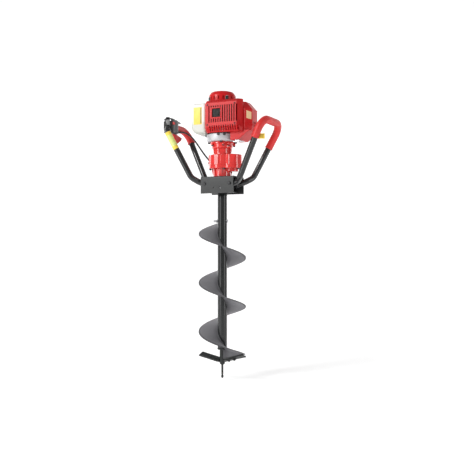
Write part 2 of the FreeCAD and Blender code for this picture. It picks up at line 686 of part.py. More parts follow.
def make_clutch():
    bell = turned([(7.5, "neck_top"), ("neck_r", "neck_top"), ("bell_r", "neck_top + 9"),
                   ("bell_r", "bell_top"), ("bell_r - bell_wall", "bell_top"),
                   ("bell_r - bell_wall", "neck_top + 11"), ("neck_r - 4", "neck_top + 4"),
                   (7.5, "neck_top + 4")])
    piece(bell, "clutch_housing")
    drum = turned([("small_shaft_r", "drum_low"), ("drum_r", "drum_low"), ("drum_r", "drum_top"),
                   ("drum_r - 2.5", "drum_top"), ("drum_r - 2.5", "drum_low + 3"),
                   ("small_shaft_r", "drum_low + 3")])
    piece(drum, "clutch_drum")
    shoe = "drum_r - 3.5"
    hub = cylinder(14, 11, z="drum_low + 6")
    rim = ring(shoe, "drum_r - 14", 11, z="drum_low + 6")
    gap = box(("-drum_r", -3, "drum_low + 5"), ("drum_r", 3, "drum_low + 18"))
    shoes = cut(rim, gap)
    arms = box((-4.5, "-(drum_r - 12)", "drum_low + 7"), (4.5, "drum_r - 12", "drum_low + 16"))
    piece(cut(fuse(hub, arms, shoes), cylinder("crank_r - 2.5", 20, z="drum_low + 5")), "clutch_shoes")

    fan_case = turned([(14, "bell_top"), ("fan_case_r - 6", "bell_top"), ("fan_case_r", "bell_top + 6"),
                       ("fan_case_r", "fan_case_top"), ("fan_case_r - fan_case_wall", "fan_case_top"),
                       ("fan_case_r - fan_case_wall", "bell_top + 7"), ("fan_case_r - 9", "bell_top + 3"),
                       (14, "bell_top + 3")])
    piece(fan_case, "fan_case")
    wheel = turned([("crank_r", "bell_top + 7"), ("fan_r", "bell_top + 7"), ("fan_r", "bell_top + 10"),
                    (18, "bell_top + 10"), (18, "fan_case_top - 5"), ("crank_r", "fan_case_top - 5")])
    vane_sketch = outline(wheel, "XY_Plane", [(17, -1.5), ("fan_r - 2", 6), ("fan_r - 2", 9), (17, 1.5)],
                          "bell_top + 9")
    vane = wheel.newObject("PartDesign::Pad", "vane")
    vane.Profile = vane_sketch
    vane.setExpression("Length", formula("fan_case_top - 6 - bell_top - 9"))
    doc.recompute()
    polar(wheel, vane, 14)
    piece(wheel, "flywheel_fan")


# ---------------------------------------------------------------- the engine

def make_engine():
    low_web = "cylinder_z - 20"
    main = fuse(cylinder("crank_r", "starter_low + 12 - bell_top - 4", z="bell_top + 4"),
                cylinder("crank_r - 2.5", "22 + bell_top - drum_top", z="drum_low + 6"),
                cylinder("web_r", 8, z=low_web), cylinder("web_r", 8, z="cylinder_z + 12"))
    throw = box(("-web_r", "-web_r", "cylinder_z - 12"), ("web_r", "web_r", "cylinder_z + 12"))
    pin = cylinder(6, 26, "stroke/2", 0, "cylinder_z - 13")
    piece(fuse(cut(main, throw), pin), "crankshaft")

    block = box(("-crankcase_x", "-crankcase_y", "fan_case_top"),
                ("crankcase_x", "crankcase_y", "crankcase_top"))
    piece(cut(block, cylinder("chamber_r", 48, z="cylinder_z - 24"),
              cylinder("crank_r + fit", "200", z="fan_case_top - 10"),
              cylinder("bore_r + 0.4", 60, 0, 0, "cylinder_z", "x"),
              cylinder(24, 60, 0, 0, "cylinder_z", "x")), "crankcase")

    barrel = turned([("crankcase_x", "0"), ("crankcase_x", "barrel_r"), ("head_x", "barrel_r"),
                     ("head_x", "0")], axis="H_Axis")
    barrel_fins(barrel)
    bore = circle_sketch(barrel, "YZ_Plane", [(0, 0, "bore_r")], "crankcase_x - 1")
    pocket(barrel, bore, "head_x - 8 - crankcase_x", reverse=True)
    barrel.setExpression("Placement.Base.z", formula("cylinder_z"))
    piece(barrel, "cylinder_barrel")
    piston = turned([(72, 0), (72, 15), (62, 18), (62, "bore_r - 0.05"), ("head_x - 13", "bore_r - 0.05"),
                     ("head_x - 10", "bore_r - 3"), ("head_x - 10", 0)], axis="H_Axis")
    piston.setExpression("Placement.Base.z", formula("cylinder_z"))
    piece(piston, "piston")
    piece(fuse(cylinder(9, 8, "head_x", 0, "cylinder_z", "x"),
               cone(8, 6, 14, "head_x + 8", 0, "cylinder_z", "x")), "spark_plug")

    make_starter()
    make_covers()
    make_tank()
    make_intake()


def barrel_fins(barrel):
    """Round cooling fins along the cylinder, made as one fin and a row of copies."""
    near = "crankcase_x + 12"
    far = "crankcase_x + 14.5"
    first = outline(barrel, "XZ_Plane", [(near, "barrel_r - 2"), (near, "fin_r"), (far, "fin_r"),
                                         (far, "barrel_r - 2")])
    fin = barrel.newObject("PartDesign::Revolution", "fin")
    fin.Profile = first
    fin.ReferenceAxis = (first, ["H_Axis"])
    fin.Angle = 360
    doc.recompute()
    row = barrel.newObject("PartDesign::LinearPattern", "fin_row")
    row.Originals = [fin]
    row.Direction = (plane_of(barrel, "X_Axis"), [""])
    row.Length = 56
    row.Occurrences = 9
    barrel.Tip = row
    doc.recompute()


def make_starter():
    """The recoil starter on top: cover, rope pulley, rope and pull handle."""
    cover = turned([("starter_neck_r - 3", "starter_low"), ("starter_neck_r", "starter_low"),
                    ("starter_neck_r", "starter_bowl - 4"), ("starter_r", "starter_bowl"),
                    ("starter_r", "starter_top - 15"), ("starter_r - 13", "starter_top"),
                    (0, "starter_top"), (0, "starter_bowl + 2"), (5, "starter_bowl + 2"),
                    (5, "starter_top - 3"), ("starter_r - 14", "starter_top - 3"),
                    ("starter_r - 3", "starter_top - 16"), ("starter_r - 3", "starter_bowl + 2"),
                    ("starter_neck_r - 3", "starter_bowl - 2")])
    z = "starter_bowl + 14"
    rope_hole = circle_sketch(cover, "XZ_Plane", [(ROPE_X, z, 4)])
    pocket(cover, rope_hole, 200, reverse=False)
    piece(cover, "starter_cover")
    piece(turned([(5.05, "starter_bowl + 5"), (38, "starter_bowl + 5"), (38, "starter_bowl + 8"),
                  (ROPE_R, "starter_bowl + 9"), (ROPE_R, "starter_bowl + 19"), (38, "starter_bowl + 20"),
                  (38, "starter_bowl + 23"), (5.05, "starter_bowl + 23")]), "starter_pulley")
    y = "starter_r + 4"
    piece(fuse(cone(6, 9, 10, ROPE_X, y, z, "y"), cylinder(9, 14, ROPE_X, "starter_r + 14", z, "y"),
               cylinder(13, 8, ROPE_X, "starter_r + 28", z, "y")), "starter_handle")
    piece(cylinder(2, "starter_r + 4 - 30", ROPE_X, 30, z, "y"), "starter_rope")


ROPE_R = 28             # the radius of the starter pulley's groove
ROPE_X = -30            # the rope, 4 mm thick, leaves the pulley on this side of the crank


def make_covers():
    front = padded("XY_Plane", [("cover_left", "cover_back"), ("cover_left", "cover_front + 14"),
                                ("cover_left + 12", "cover_front"), ("cover_right - 4", "cover_front"),
                                ("cover_right + 10", "cover_back - 6"), ("cover_right + 10", "cover_back")],
                   "cover_top - cover_low", "cover_low")
    face = size("cover_front")
    for amount, level in ((12, size("cover_top")), (20, size("cover_low"))):
        dress(front, "Chamfer", amount, lambda point: point.y < face + 0.1 and abs(point.z - level) < 0.1)
    wall = "cover_wall"
    room = outline(front, "XY_Plane", [("cover_left + " + wall, "cover_back + 1"),
                                       ("cover_left + " + wall, "cover_front + 18"),
                                       ("cover_left + 14", "cover_front + 9"),
                                       ("cover_right - 6", "cover_front + 9"),
                                       ("cover_right + 6", "cover_back - 2"),
                                       ("cover_right + 6", "cover_back + 1")],
                   "cover_low + 12")
    pocket(front, room, "cover_top - cover_low - 22", reverse=True)
    left = "cover_left + 26"
    right = "cover_left + 26 + slot_width"
    slot = outline(front, "XZ_Plane", [(left, "cylinder_z + 2"), (right, "cylinder_z + 2"),
                                       (right, "cylinder_z + 64"), (left, "cylinder_z + 64")],
                   "-cover_front - 15")
    first = pocket(front, slot, 20, reverse=True)
    row = front.newObject("PartDesign::LinearPattern", "slots")
    row.Originals = [first]
    row.Direction = (plane_of(front, "X_Axis"), [""])
    row.setExpression("Length", formula("slot_pitch * 11"))
    row.Occurrences = 12
    front.Tip = row
    doc.recompute()
    piece(front, "muffler_cover")
    piece(box(("cover_left + 10", "cover_front + 14", "cover_low + 22"),
              ("cover_right - 14", "cover_back", "cover_top - 18")), "muffler")

    shroud = padded("XY_Plane", [("shroud_left", "shroud_front"), (128, "shroud_front"),
                                 ("shroud_right", "shroud_front + 24"),
                                 ("shroud_right", "shroud_back - 30"), (132, "shroud_back"),
                                 ("shroud_left", "shroud_back")],
                    "shroud_top - shroud_low", "shroud_low")
    dress(shroud, "Chamfer", 9, lambda point: abs(point.z - size("shroud_top")) < 0.1 and point.x > 60)
    wall = "shroud_wall"
    hollow = outline(shroud, "XY_Plane", [("shroud_left - 1", "shroud_front + " + wall),
                                          (126, "shroud_front + " + wall),
                                          ("shroud_right - 5", "shroud_front + 26"),
                                          ("shroud_right - 5", "shroud_back - 33"),
                                          (129, "shroud_back - 4"),
                                          ("shroud_left - 1", "shroud_back - 4")], "shroud_low - 1")
    pocket(shroud, hollow, "shroud_top - shroud_low - 12", reverse=True)
    piece(shroud, "engine_shroud")
    duct = padded("XZ_Plane", [(60, "bell_top + 2"), (98, "bell_top + 2"), (146, "shroud_low"),
                               (60, "shroud_low")], 100, -50)
    room = padded("XZ_Plane", [(50, "bell_top + 5"), (97, "bell_top + 5"), (138, "shroud_low + 1"),
                               (50, "shroud_low + 1")], 94, -47)
    piece(cut(duct, room, cylinder("fan_case_r + 0.1", 60, z="bell_top")), "cooling_duct")
    piece(fuse(box((68, -44, "bell_top - 6"), (112, -20, "bell_top - 3")),
               box((80, -44, "bell_top - 4"), (100, -38, "bell_top + 2"))), "stay_plate")


def make_tank():
    tank = padded("XZ_Plane", [("tank_left", "tank_low + 20"), ("tank_left + 22", "tank_low"),
                               ("tank_right", "tank_low"), ("tank_right", "tank_top"),
                               ("tank_left + 4", "tank_top")], "2 * tank_half", "-tank_half")
    back = size("tank_half")
    roof = size("tank_top")
    dress(tank, "Chamfer", 30, lambda point: point.z > roof - 0.1 and abs(point.y - back) < 0.1)
    piece(tank, "fuel_tank")
    middle = size("tank_left") + 42
    top = Vector(middle, size("tank_half") - 15, size("tank_top") - 15)
    away = Vector(0, 1, 1).normalize()
    cap = Part.makeCylinder(19, 14, top + away * 0.3, away)
    feature("fuel_cap", cap)


def make_intake():
    block = fuse(box((6, "crankcase_y", "cylinder_z - 18"), (40, "crankcase_y + 32", "cylinder_z + 20")),
                 cylinder(5, 20, 26, "crankcase_y + 24", "cylinder_z - 34"))
    piece(cut(block, cylinder(9.6, 5, 6, "crankcase_y + 16", "cylinder_z", "x")), "carburettor")
    cover = box((-12, "crankcase_y + 32.1", "cylinder_z - 36"), (66, "crankcase_y + 66", "cylinder_z + 40"))
    doc.recompute()
    rounded = doc.addObject("Part::Fillet", "filter_round")
    rounded.Base = cover
    rounded.Edges = [(i, 8, 8) for i, edge in enumerate(cover.Shape.Edges, start=1)
                     if all(vertex.Point.y > size("crankcase_y") + 60 for vertex in edge.Vertexes)]
    piece(rounded, "air_filter_cover")
    piece(fuse(cylinder(5, 5, -19, "crankcase_y + 44", "cylinder_z + 12", "x"),
               box((-19, "crankcase_y + 40", "cylinder_z + 12"),
                   (-15, "crankcase_y + 48", "cylinder_z + 42"))), "choke_lever")
    piece(cone(6, 9, 9.7, -3, "crankcase_y + 16", "cylinder_z", "x"), "primer_bulb")


# ---------------------------------------------------------------- fasteners

def make_screws():
    """M6 screws, all alike: base to case, bracket to base, bell to fan case, fan case to crankcase."""
    screws = []

    def add(x, y, z, length=14):
        screws.append(bolt(5, 5, 3, length, x, y, z))

    for angle in (100, 155, 205, 305):
        turn = math.radians(angle)
        add(round(50.5 * math.cos(turn), 2), round(50.5 * math.sin(turn), 2), "flange_low")
    add("gear_centre + 35", -12, "flange_low")
    add("gear_centre + 35", 12, "flange_low")
    for angle in (45, 135, 225, 315):
        turn = math.radians(angle)
        add(round(30 * math.cos(turn), 2), round(30 * math.sin(turn), 2), "bracket_top - plate")
    for angle in (20, 110, 200, 290):
        turn = math.radians(angle)
        add(round(57 * math.cos(turn), 2), round(57 * math.sin(turn), 2), "bell_top", 6)
    piece(group(*screws), "case_screws")


def finish():
    doc.recompute()
    doc.removeObject("probe")
    os.makedirs("parts", exist_ok=True)
    broken = [obj.Name + " " + obj.Label for obj in doc.Objects
              if "Invalid" in obj.State or "Error" in obj.State]
    if broken:
        raise RuntimeError("failed objects: " + ", ".join(broken))
    for obj in PIECES:
        if obj.Shape.isNull() or not obj.Shape.isValid() or not obj.Shape.Solids:
            raise RuntimeError("bad shape: " + obj.Label)
    for obj in PIECES:
        obj.Shape.exportStep("parts/%s.step" % obj.Label)
    print(len(PIECES), "sub-parts written")


make_bit()
make_bracket()
make_handles()
make_throttle()
make_cable()
make_gearbox()
make_clutch()
make_engine()
make_screws()
finish()
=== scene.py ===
import functools
import itertools
import math

import bmesh
import bpy
from mathutils import Matrix, Vector


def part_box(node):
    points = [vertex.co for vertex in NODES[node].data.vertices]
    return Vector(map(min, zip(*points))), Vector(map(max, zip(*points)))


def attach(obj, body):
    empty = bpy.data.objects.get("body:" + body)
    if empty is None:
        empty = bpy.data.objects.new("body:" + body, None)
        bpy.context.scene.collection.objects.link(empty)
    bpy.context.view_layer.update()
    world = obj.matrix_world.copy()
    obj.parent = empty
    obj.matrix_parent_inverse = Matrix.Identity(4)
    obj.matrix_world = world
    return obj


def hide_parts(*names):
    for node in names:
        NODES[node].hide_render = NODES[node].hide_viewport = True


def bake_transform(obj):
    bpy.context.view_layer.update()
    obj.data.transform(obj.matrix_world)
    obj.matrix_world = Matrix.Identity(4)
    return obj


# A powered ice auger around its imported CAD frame. Lengths below are millimetres unless said otherwise;
# MM turns them into metres when a mesh is made.

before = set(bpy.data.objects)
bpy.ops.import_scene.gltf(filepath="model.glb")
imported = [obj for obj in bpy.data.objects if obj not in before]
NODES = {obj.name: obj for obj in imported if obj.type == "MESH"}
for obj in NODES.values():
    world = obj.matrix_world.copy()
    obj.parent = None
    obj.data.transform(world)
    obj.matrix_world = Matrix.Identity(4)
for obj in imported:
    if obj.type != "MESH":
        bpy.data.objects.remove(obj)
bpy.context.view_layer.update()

MM = 0.001


@functools.cache
def corners(node):
    """A CAD node's lowest and highest corners in millimetres."""
    return tuple(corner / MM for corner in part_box(node))


def low(node):
    return corners(node)[0]


def high(node):
    return corners(node)[1]


def middle(node):
    return (low(node) + high(node)) / 2


def put(name, data):
    """A new object in the scene."""
    obj = bpy.data.objects.new(name, data)
    bpy.context.scene.collection.objects.link(obj)
    return obj


def aim(obj, direction):
    """Turns a camera or light so that it looks along a direction."""
    obj.rotation_mode = "QUATERNION"
    obj.rotation_quaternion = direction.to_track_quat("-Z", "Y")


# ---------------------------------------------------------------- camera, floor and light

VIEW_AZIMUTH = math.radians(25)       # the front-right direction from which the auger is seen
VIEW_DISTANCE = 3000.0                # from the spin axis
EYE_HEIGHT = 584.0                    # the camera's height above the pilot tip
SIDE_STEP = 62.0                      # the axis stands this far left of the picture's middle
VIEW_RISE = math.radians(0.24)        # the camera looks up by this much
LENS = 53.85

FLOOR_DROP = 0.012                    # metres from the pilot tip down to the floor
FLOOR_HALF_WIDTH = 9                  # metres
WALL_START, WALL_BEND, WALL_TOP = 2.6, 1.5, 6.3
WALL_STEPS = 12
FLOOR_GLOW, WALL_GLOW = 0.3, 0.42
WORLD_GLOW = 0.36
LIGHT_AIM = 0.65                      # metres above the pilot tip

# name, azimuth from the camera and elevation in degrees, distance and size in metres, power in watts
LIGHTS = (("key", -55, 30, 3.2, (0.8, 1.0), 44),
          ("box_left", -53, 7, 3.0, (0.9, 2.6), 30),
          ("box_right", 58, 7, 3.0, (0.8, 2.6), 22),
          ("edge_left", -140, 8, 3.0, (0.5, 2.6), 12),
          ("edge_right", 140, 8, 3.0, (0.5, 2.6), 10))


def make_camera():
    data = bpy.data.cameras.new("camera")
    data.sensor_width = 36
    data.lens = LENS
    data.clip_end = 50
    camera = put("camera", data)
    back = Vector((math.sin(VIEW_AZIMUTH), -math.cos(VIEW_AZIMUTH), 0))
    right = Vector((math.cos(VIEW_AZIMUTH), math.sin(VIEW_AZIMUTH), 0))
    camera.location = (back * VIEW_DISTANCE + right * SIDE_STEP + Vector((0, 0, EYE_HEIGHT))) * MM
    aim(camera, -back + Vector((0, 0, math.tan(VIEW_RISE))))
    bpy.context.scene.camera = camera


def make_stage():
    """A sheet of white paper: flat under the object, and curved up into a wall behind it."""
    mesh = bpy.data.meshes.new("floor")
    rows = [(-6.0, 0.0), (WALL_START, 0.0)]
    for i in range(1, WALL_STEPS + 1):
        turn = math.radians(90) * i / WALL_STEPS
        rows.append((WALL_START + WALL_BEND * math.sin(turn), WALL_BEND * (1 - math.cos(turn))))
    rows.append((WALL_START + WALL_BEND, WALL_TOP))
    verts = [(x, y, z - FLOOR_DROP) for y, z in rows for x in (-FLOOR_HALF_WIDTH, FLOOR_HALF_WIDTH)]
    faces = [(2 * i, 2 * i + 1, 2 * i + 3, 2 * i + 2) for i in range(len(rows) - 1)]
    mesh.from_pydata(verts, [], faces)
    for name, glow in (("floor_paper", FLOOR_GLOW), ("wall_paper", WALL_GLOW)):
        material, tree, shader = new_material(name)
        feed(tree, shader, {"Base Color": (0.93, 0.93, 0.93, 1), "Roughness": 0.85, "Specular IOR Level": 0.1,
                            "Emission Color": (1, 1, 1, 1), "Emission Strength": glow})
        mesh.materials.append(material)
    for number, face in enumerate(mesh.polygons):
        face.use_smooth = True
        face.material_index = 1 if number else 0
    floor = put("floor", mesh)
    floor.rotation_euler = (0, 0, VIEW_AZIMUTH)


def make_light():
    world = bpy.data.worlds.new("studio")
    world.use_nodes = True
    background = world.node_tree.nodes["Background"]
    feed(world.node_tree, background, {"Color": (1, 1, 1, 1), "Strength": WORLD_GLOW})
    bpy.context.scene.world = world
    for name, azimuth, elevation, distance, size, power in LIGHTS:
        data = bpy.data.lights.new(name, "AREA")
        data.shape = "RECTANGLE"
        data.size, data.size_y = size
        data.energy = power
        light = put(name, data)
        turn = VIEW_AZIMUTH + math.radians(azimuth)
        tilt = math.radians(elevation)
        back = Vector((math.sin(turn) * math.cos(tilt), -math.cos(turn) * math.cos(tilt), math.sin(tilt)))
        light.location = back * distance + Vector((0, 0, LIGHT_AIM))
        aim(light, -back)
    bpy.context.scene.view_settings.view_transform = "Standard"


# ---------------------------------------------------------------- shader nodes

def new_material(name):
    material = bpy.data.materials.new(name)
    material.use_nodes = True
    tree = material.node_tree
    return material, tree, tree.nodes["Principled BSDF"]


def feed(tree, node, inputs):
    """Sets a node's inputs, and links those whose value is another node's output."""
    for key, value in inputs.items():
        if isinstance(value, bpy.types.NodeSocket):
            tree.links.new(value, node.inputs[key])
        else:
            node.inputs[key].default_value = value


def add(tree, kind, output, inputs=None, **settings):
    """Adds a shader node, sets or links its inputs, and returns one of its outputs."""
    node = tree.nodes.new("ShaderNode" + kind)
    for key, value in settings.items():
        setattr(node, key, value)
    feed(tree, node, inputs or {})
    return node.outputs[output]


def position(tree):
    """Where a point is in the row frame's own metres, so that a grain has a real size."""
    return add(tree, "TexCoord", "Object")


def noise(tree, scale, detail=4.0, rough=0.55, stretch=(1, 1, 1)):
    where = add(tree, "Mapping", "Vector", {"Vector": position(tree), "Scale": stretch})
    inputs = {"Vector": where, "Scale": scale, "Detail": detail, "Roughness": rough}
    return add(tree, "TexNoise", "Fac", inputs)


def ramp(tree, value, stops):
    """A colour that depends on a value; a stop's colour may be one number, for a grey."""
    node = tree.nodes.new("ShaderNodeValToRGB")
    band = node.color_ramp
    while len(band.elements) < len(stops):
        band.elements.new(0.5)
    for element, (at, colour) in zip(band.elements, stops):
        element.position = at
        element.color = (*colour, 1) if isinstance(colour, tuple) else (colour, colour, colour, 1)
    tree.links.new(value, node.inputs["Fac"])
    return node.outputs["Color"]


def blend(tree, factor, first, second, how="MIX"):
    return add(tree, "Mix", 2, {0: factor, 6: first, 7: second}, data_type="RGBA", blend_type=how)


def relief(tree, height, strength, distance, under=None):
    """The normal of a bump, on top of another bump's."""
    inputs = {"Height": height, "Strength": strength, "Distance": distance}
    if under is not None:
        inputs["Normal"] = under
    return add(tree, "Bump", "Normal", inputs)


def tone_of(material):
    """A material's node tree, its shader and the colour that reaches it."""
    tree = material.node_tree
    shader = tree.nodes["Principled BSDF"]
    return tree, shader, shader.inputs["Base Color"].links[0].from_socket


def scaled(colour, factor):
    return tuple(min(1.0, part * factor) for part in colour)


# ---------------------------------------------------------------- materials

def finish_material(name, colour, rough, metal=0.0, spread=0.12, grain=900.0, bump=0.12, blotch=14.0,
                    coat=0.0, stretch=(1, 1, 1), specular=0.5, scratches=False, rough_spread=0.08):
    """A painted, moulded or metal finish: blotchy tone, fine grain in the bump, uneven roughness."""
    material, tree, shader = new_material(name)
    tone = ramp(tree, noise(tree, blotch, 5.0, 0.6), [(0.3, scaled(colour, 1 - spread)),
                                                     (0.7, scaled(colour, 1 + spread))])
    gloss = ramp(tree, noise(tree, blotch * 2.7, 6.0, 0.65), [(0.3, max(rough - rough_spread, 0.03)),
                                                             (0.72, min(rough + rough_spread, 1.0))])
    normal = relief(tree, noise(tree, grain, 3.0, 0.6, stretch), bump, 0.0004)
    if scratches:
        lines = ramp(tree, noise(tree, 45.0, 8.0, 0.75, (1, 1, 0.12)), [(0.44, 0), (0.6, 1)])
        normal = relief(tree, lines, 0.25, 0.0003, normal)
    feed(tree, shader, {"Base Color": tone, "Roughness": gloss, "Metallic": metal, "Coat Weight": coat,
                        "Coat Roughness": 0.08, "Specular IOR Level": specular, "Normal": normal})
    return material


def worn_paint(name, colour, metal_colour, rough, edge_from, edge_to, **more):
    """Paint that is rubbed through to lighter metal along its edges."""
    material = finish_material(name, colour, rough, **more)
    tree, shader, tone = tone_of(material)
    edge = ramp(tree, add(tree, "NewGeometry", "Pointiness"), [(edge_from, 0), (edge_to, 1)])
    patch = ramp(tree, noise(tree, 120.0, 8.0, 0.7), [(0.45, 0), (0.62, 1)])
    worn = blend(tree, 1.0, edge, patch, "MULTIPLY")
    feed(tree, shader, {"Base Color": blend(tree, worn, tone, (*metal_colour, 1))})
    return material


def scuffed(name, colour, metal_colour, rough, **more):
    """Paint with a few small scuffs that show the lighter metal."""
    material = finish_material(name, colour, rough, **more)
    tree, shader, tone = tone_of(material)
    marks = ramp(tree, noise(tree, 55.0, 9.0, 0.72, (1, 1, 0.35)), [(0.64, 0), (0.69, 0.7)])
    feed(tree, shader, {"Base Color": blend(tree, marks, tone, (*metal_colour, 1))})
    return material


def tank_material():
    """Milky blow-moulded plastic with the darker level of fuel showing through its lower part."""
    material, tree, shader = new_material("milky_plastic")
    height = add(tree, "SeparateXYZ", "Z", {"Vector": position(tree)})
    level = add(tree, "MapRange", "Result", {"Value": height, "From Min": low("fuel_tank").z * MM,
                                             "From Max": high("fuel_tank").z * MM})
    tone = ramp(tree, level, [(0.0, (0.52, 0.53, 0.48)), (0.36, (0.62, 0.63, 0.58)),
                              (0.42, (0.72, 0.72, 0.68)), (1.0, (0.78, 0.78, 0.74))])
    gloss = ramp(tree, noise(tree, 60.0, 4.0), [(0.3, 0.3), (0.7, 0.42)])
    feed(tree, shader, {"Base Color": tone, "Roughness": gloss, "Subsurface Weight": 0.35,
                        "Subsurface Radius": (0.02, 0.02, 0.018),
                        "Normal": relief(tree, noise(tree, 260.0, 3.0), 0.2, 0.0006)})
    return material


def flight_material():
    """Flat grey powder coat with painted shade by the shaft, where the tube's shadow falls, and darker along
    the rim, where ice and handling dirty it.
    """
    material = finish_material("flight_coat", (0.19, 0.187, 0.2), 0.58, spread=0.1, grain=1100.0, bump=0.1,
                               blotch=9.0, specular=0.3, scratches=True)
    tree, shader, tone = tone_of(material)
    flat = add(tree, "VectorMath", "Vector", {0: position(tree), 1: (1, 1, 0)}, operation="MULTIPLY")
    reach = add(tree, "VectorMath", "Value", {0: flat}, operation="LENGTH")
    spread = add(tree, "MapRange", "Result", {"Value": reach, "From Min": 0.02, "From Max": 0.1})
    # painted shadow of the shaft close to the tube, and dirt along the rim
    shaft_shade_and_rim_stain = ramp(tree, spread, [(0.0, 0.5), (0.25, 0.88), (0.9, 1), (0.975, 0.42)])
    feed(tree, shader, {"Base Color": blend(tree, 1.0, tone, shaft_shade_and_rim_stain, "MULTIPLY")})
    return material


def knurled(name, colour, rough, scale, depth):
    """Moulded rubber with a fine pebble grain."""
    material, tree, shader = new_material(name)
    tone = ramp(tree, noise(tree, 30.0, 5.0), [(0.3, scaled(colour, 0.88)), (0.7, scaled(colour, 1.1))])
    gloss = ramp(tree, noise(tree, 70.0, 4.0), [(0.3, rough - 0.06), (0.7, rough + 0.06)])
    cells = add(tree, "TexVoronoi", "Distance", {"Vector": position(tree), "Scale": scale})
    feed(tree, shader, {"Base Color": tone, "Roughness": gloss, "Normal": relief(tree, cells, depth, 0.0005)})
    return material


MAT = {
    "tube_black": scuffed("tube_black", (0.009, 0.0095, 0.0105), (0.09, 0.09, 0.095), 0.26, spread=0.12,
                          grain=1300.0, bump=0.04, coat=0.3, rough_spread=0.04),
    "shaft_grey": scuffed("shaft_grey", (0.011, 0.0122, 0.0126), (0.14, 0.14, 0.15), 0.24, spread=0.12,
                          grain=1300.0, bump=0.04, coat=0.2, rough_spread=0.04, specular=0.42),
    "flight": flight_material(),
    "blade": scuffed("blade_coat", (0.02, 0.022, 0.0215), (0.26, 0.26, 0.27), 0.42, spread=0.12, grain=900.0,
                     bump=0.1, scratches=True, specular=0.32),
    "bracket": scuffed("bracket_coat", (0.02, 0.0215, 0.0215), (0.11, 0.11, 0.115), 0.4, spread=0.06,
                       grain=1300.0, bump=0.05, rough_spread=0.03, specular=0.38),
    "bolt": worn_paint("black_oxide", (0.02, 0.02, 0.022), (0.09, 0.09, 0.09), 0.46, 0.54, 0.62,
                       spread=0.2, grain=900.0, specular=0.35),
    "steel": finish_material("bright_steel", (0.6, 0.6, 0.62), 0.28, 1.0, 0.06, 300.0, 0.12, 30.0,
                             stretch=(1, 1, 14)),
    "gear": finish_material("gear_steel", (0.42, 0.42, 0.43), 0.34, 1.0, 0.1, 700.0, 0.2),
    "iron": finish_material("clutch_iron", (0.22, 0.21, 0.2), 0.6, 0.8, 0.15, 500.0, 0.35),
    "seal": finish_material("seal_rubber", (0.02, 0.02, 0.02), 0.65, 0.0, 0.2, 900.0, 0.2),
    "gearbox": finish_material("gearbox_paint", (0.72, 0.026, 0.022), 0.16, 0.0, 0.05, 500.0, 0.06, 22.0,
                               coat=0.9, specular=0.6, rough_spread=0.04),
    "cover": finish_material("cover_red", (0.55, 0.009, 0.011), 0.36, 0.0, 0.05, 1100.0, 0.05, 12.0,
                             coat=0.06, specular=0.22, rough_spread=0.04),
    "grip": knurled("grip_rubber", (0.64, 0.022, 0.02), 0.42, 900.0, 0.25),
    "trigger": finish_material("trigger_red", (0.6, 0.011, 0.011), 0.36, 0.0, 0.06, 900.0, 0.06, 40.0,
                               specular=0.3),
    "plastic": finish_material("black_nylon", (0.01, 0.01, 0.011), 0.34, 0.0, 0.15, 1400.0, 0.12, 40.0,
                               specular=0.45),
    "aluminium": finish_material("cast_aluminium", (0.56, 0.56, 0.58), 0.46, 0.35, 0.07, 750.0, 0.35, 35.0,
                                 rough_spread=0.1),
    "muffler": finish_material("muffler_steel", (0.016, 0.0145, 0.014), 0.6, 0.3, 0.3, 500.0, 0.2, 30.0),
    "tank": tank_material(),
    "cable": finish_material("cable_sleeve", (0.012, 0.012, 0.013), 0.4, 0.0, 0.15, 900.0, 0.15, 60.0),
    "rope": finish_material("rope_white", (0.6, 0.6, 0.57), 0.8, 0.0, 0.12, 1200.0, 0.6, 60.0),
    "bulb": finish_material("bulb_rubber", (0.6, 0.55, 0.4), 0.35, 0.0, 0.08, 500.0, 0.1, 60.0),
    "yellow": finish_material("label_yellow", (0.84, 0.62, 0.08), 0.42, 0.0, 0.06, 900.0, 0.08, 60.0),
    "tag": finish_material("tag_paper", (0.95, 0.66, 0.08), 0.6, 0.0, 0.06, 900.0, 0.12, 60.0, specular=0.3),
    "orange": finish_material("label_orange", (0.84, 0.6, 0.32), 0.42, 0.0, 0.06, 900.0, 0.08, 60.0),
    "pale": finish_material("label_pale", (0.64, 0.72, 0.24), 0.42, 0.0, 0.1, 900.0, 0.08, 90.0),
    "ink": finish_material("label_ink", (0.1, 0.085, 0.05), 0.5, 0.0, 0.3, 900.0, 0.08, 90.0),
}

CAD_MATERIALS = {
    "steel": ("drive_spindle", "output_shaft", "lay_shaft", "crankshaft", "output_bearings", "lay_bearings",
              "input_bearings", "handle_nuts"),
    "gear": ("input_pinion_shaft", "output_gear", "lay_gear_cluster"),
    "iron": ("clutch_drum", "clutch_shoes"),
    "seal": ("output_seal",),
    "aluminium": ("flywheel_fan", "piston", "carburettor", "crankcase", "cylinder_barrel"),
    "muffler": ("muffler",),
    "bracket": ("bracket_base_plate",),
    "blade": ("cutting_blades", "cutter_head"),
    "plastic": ("starter_pulley", "choke_lever", "spark_plug"),
    "bulb": ("primer_bulb",),
}


def paint_cad():
    for name, group in CAD_MATERIALS.items():
        for node in group:
            slots = NODES[node].data.materials
            slots.clear()
            slots.append(MAT[name])


# ---------------------------------------------------------------- mesh tools

def turns(count):
    return [2 * math.pi * i / count for i in range(count)]


def loop(radius, height, count):
    """A ring of points about Z; its radius is a number, or depends on the direction."""
    reach = radius if callable(radius) else lambda turn: radius
    return [(reach(turn) * math.cos(turn), reach(turn) * math.sin(turn), height) for turn in turns(count)]


def turned(degrees, axis="Z"):
    return Matrix.Rotation(math.radians(degrees), 4, axis)


def about_axis(radius, degrees, height):
    """The point at a radius, a direction and a height about the spin axis."""
    turn = math.radians(degrees)
    return (radius * math.cos(turn), radius * math.sin(turn), height)


def rectangle(left, bottom, right, top):
    return [(left, bottom), (right, bottom), (right, top), (left, top)]


def grid(xs, ys, zs):
    """Every corner that has one of these x, one of these y and one of these z."""
    return list(itertools.product(xs, ys, zs))


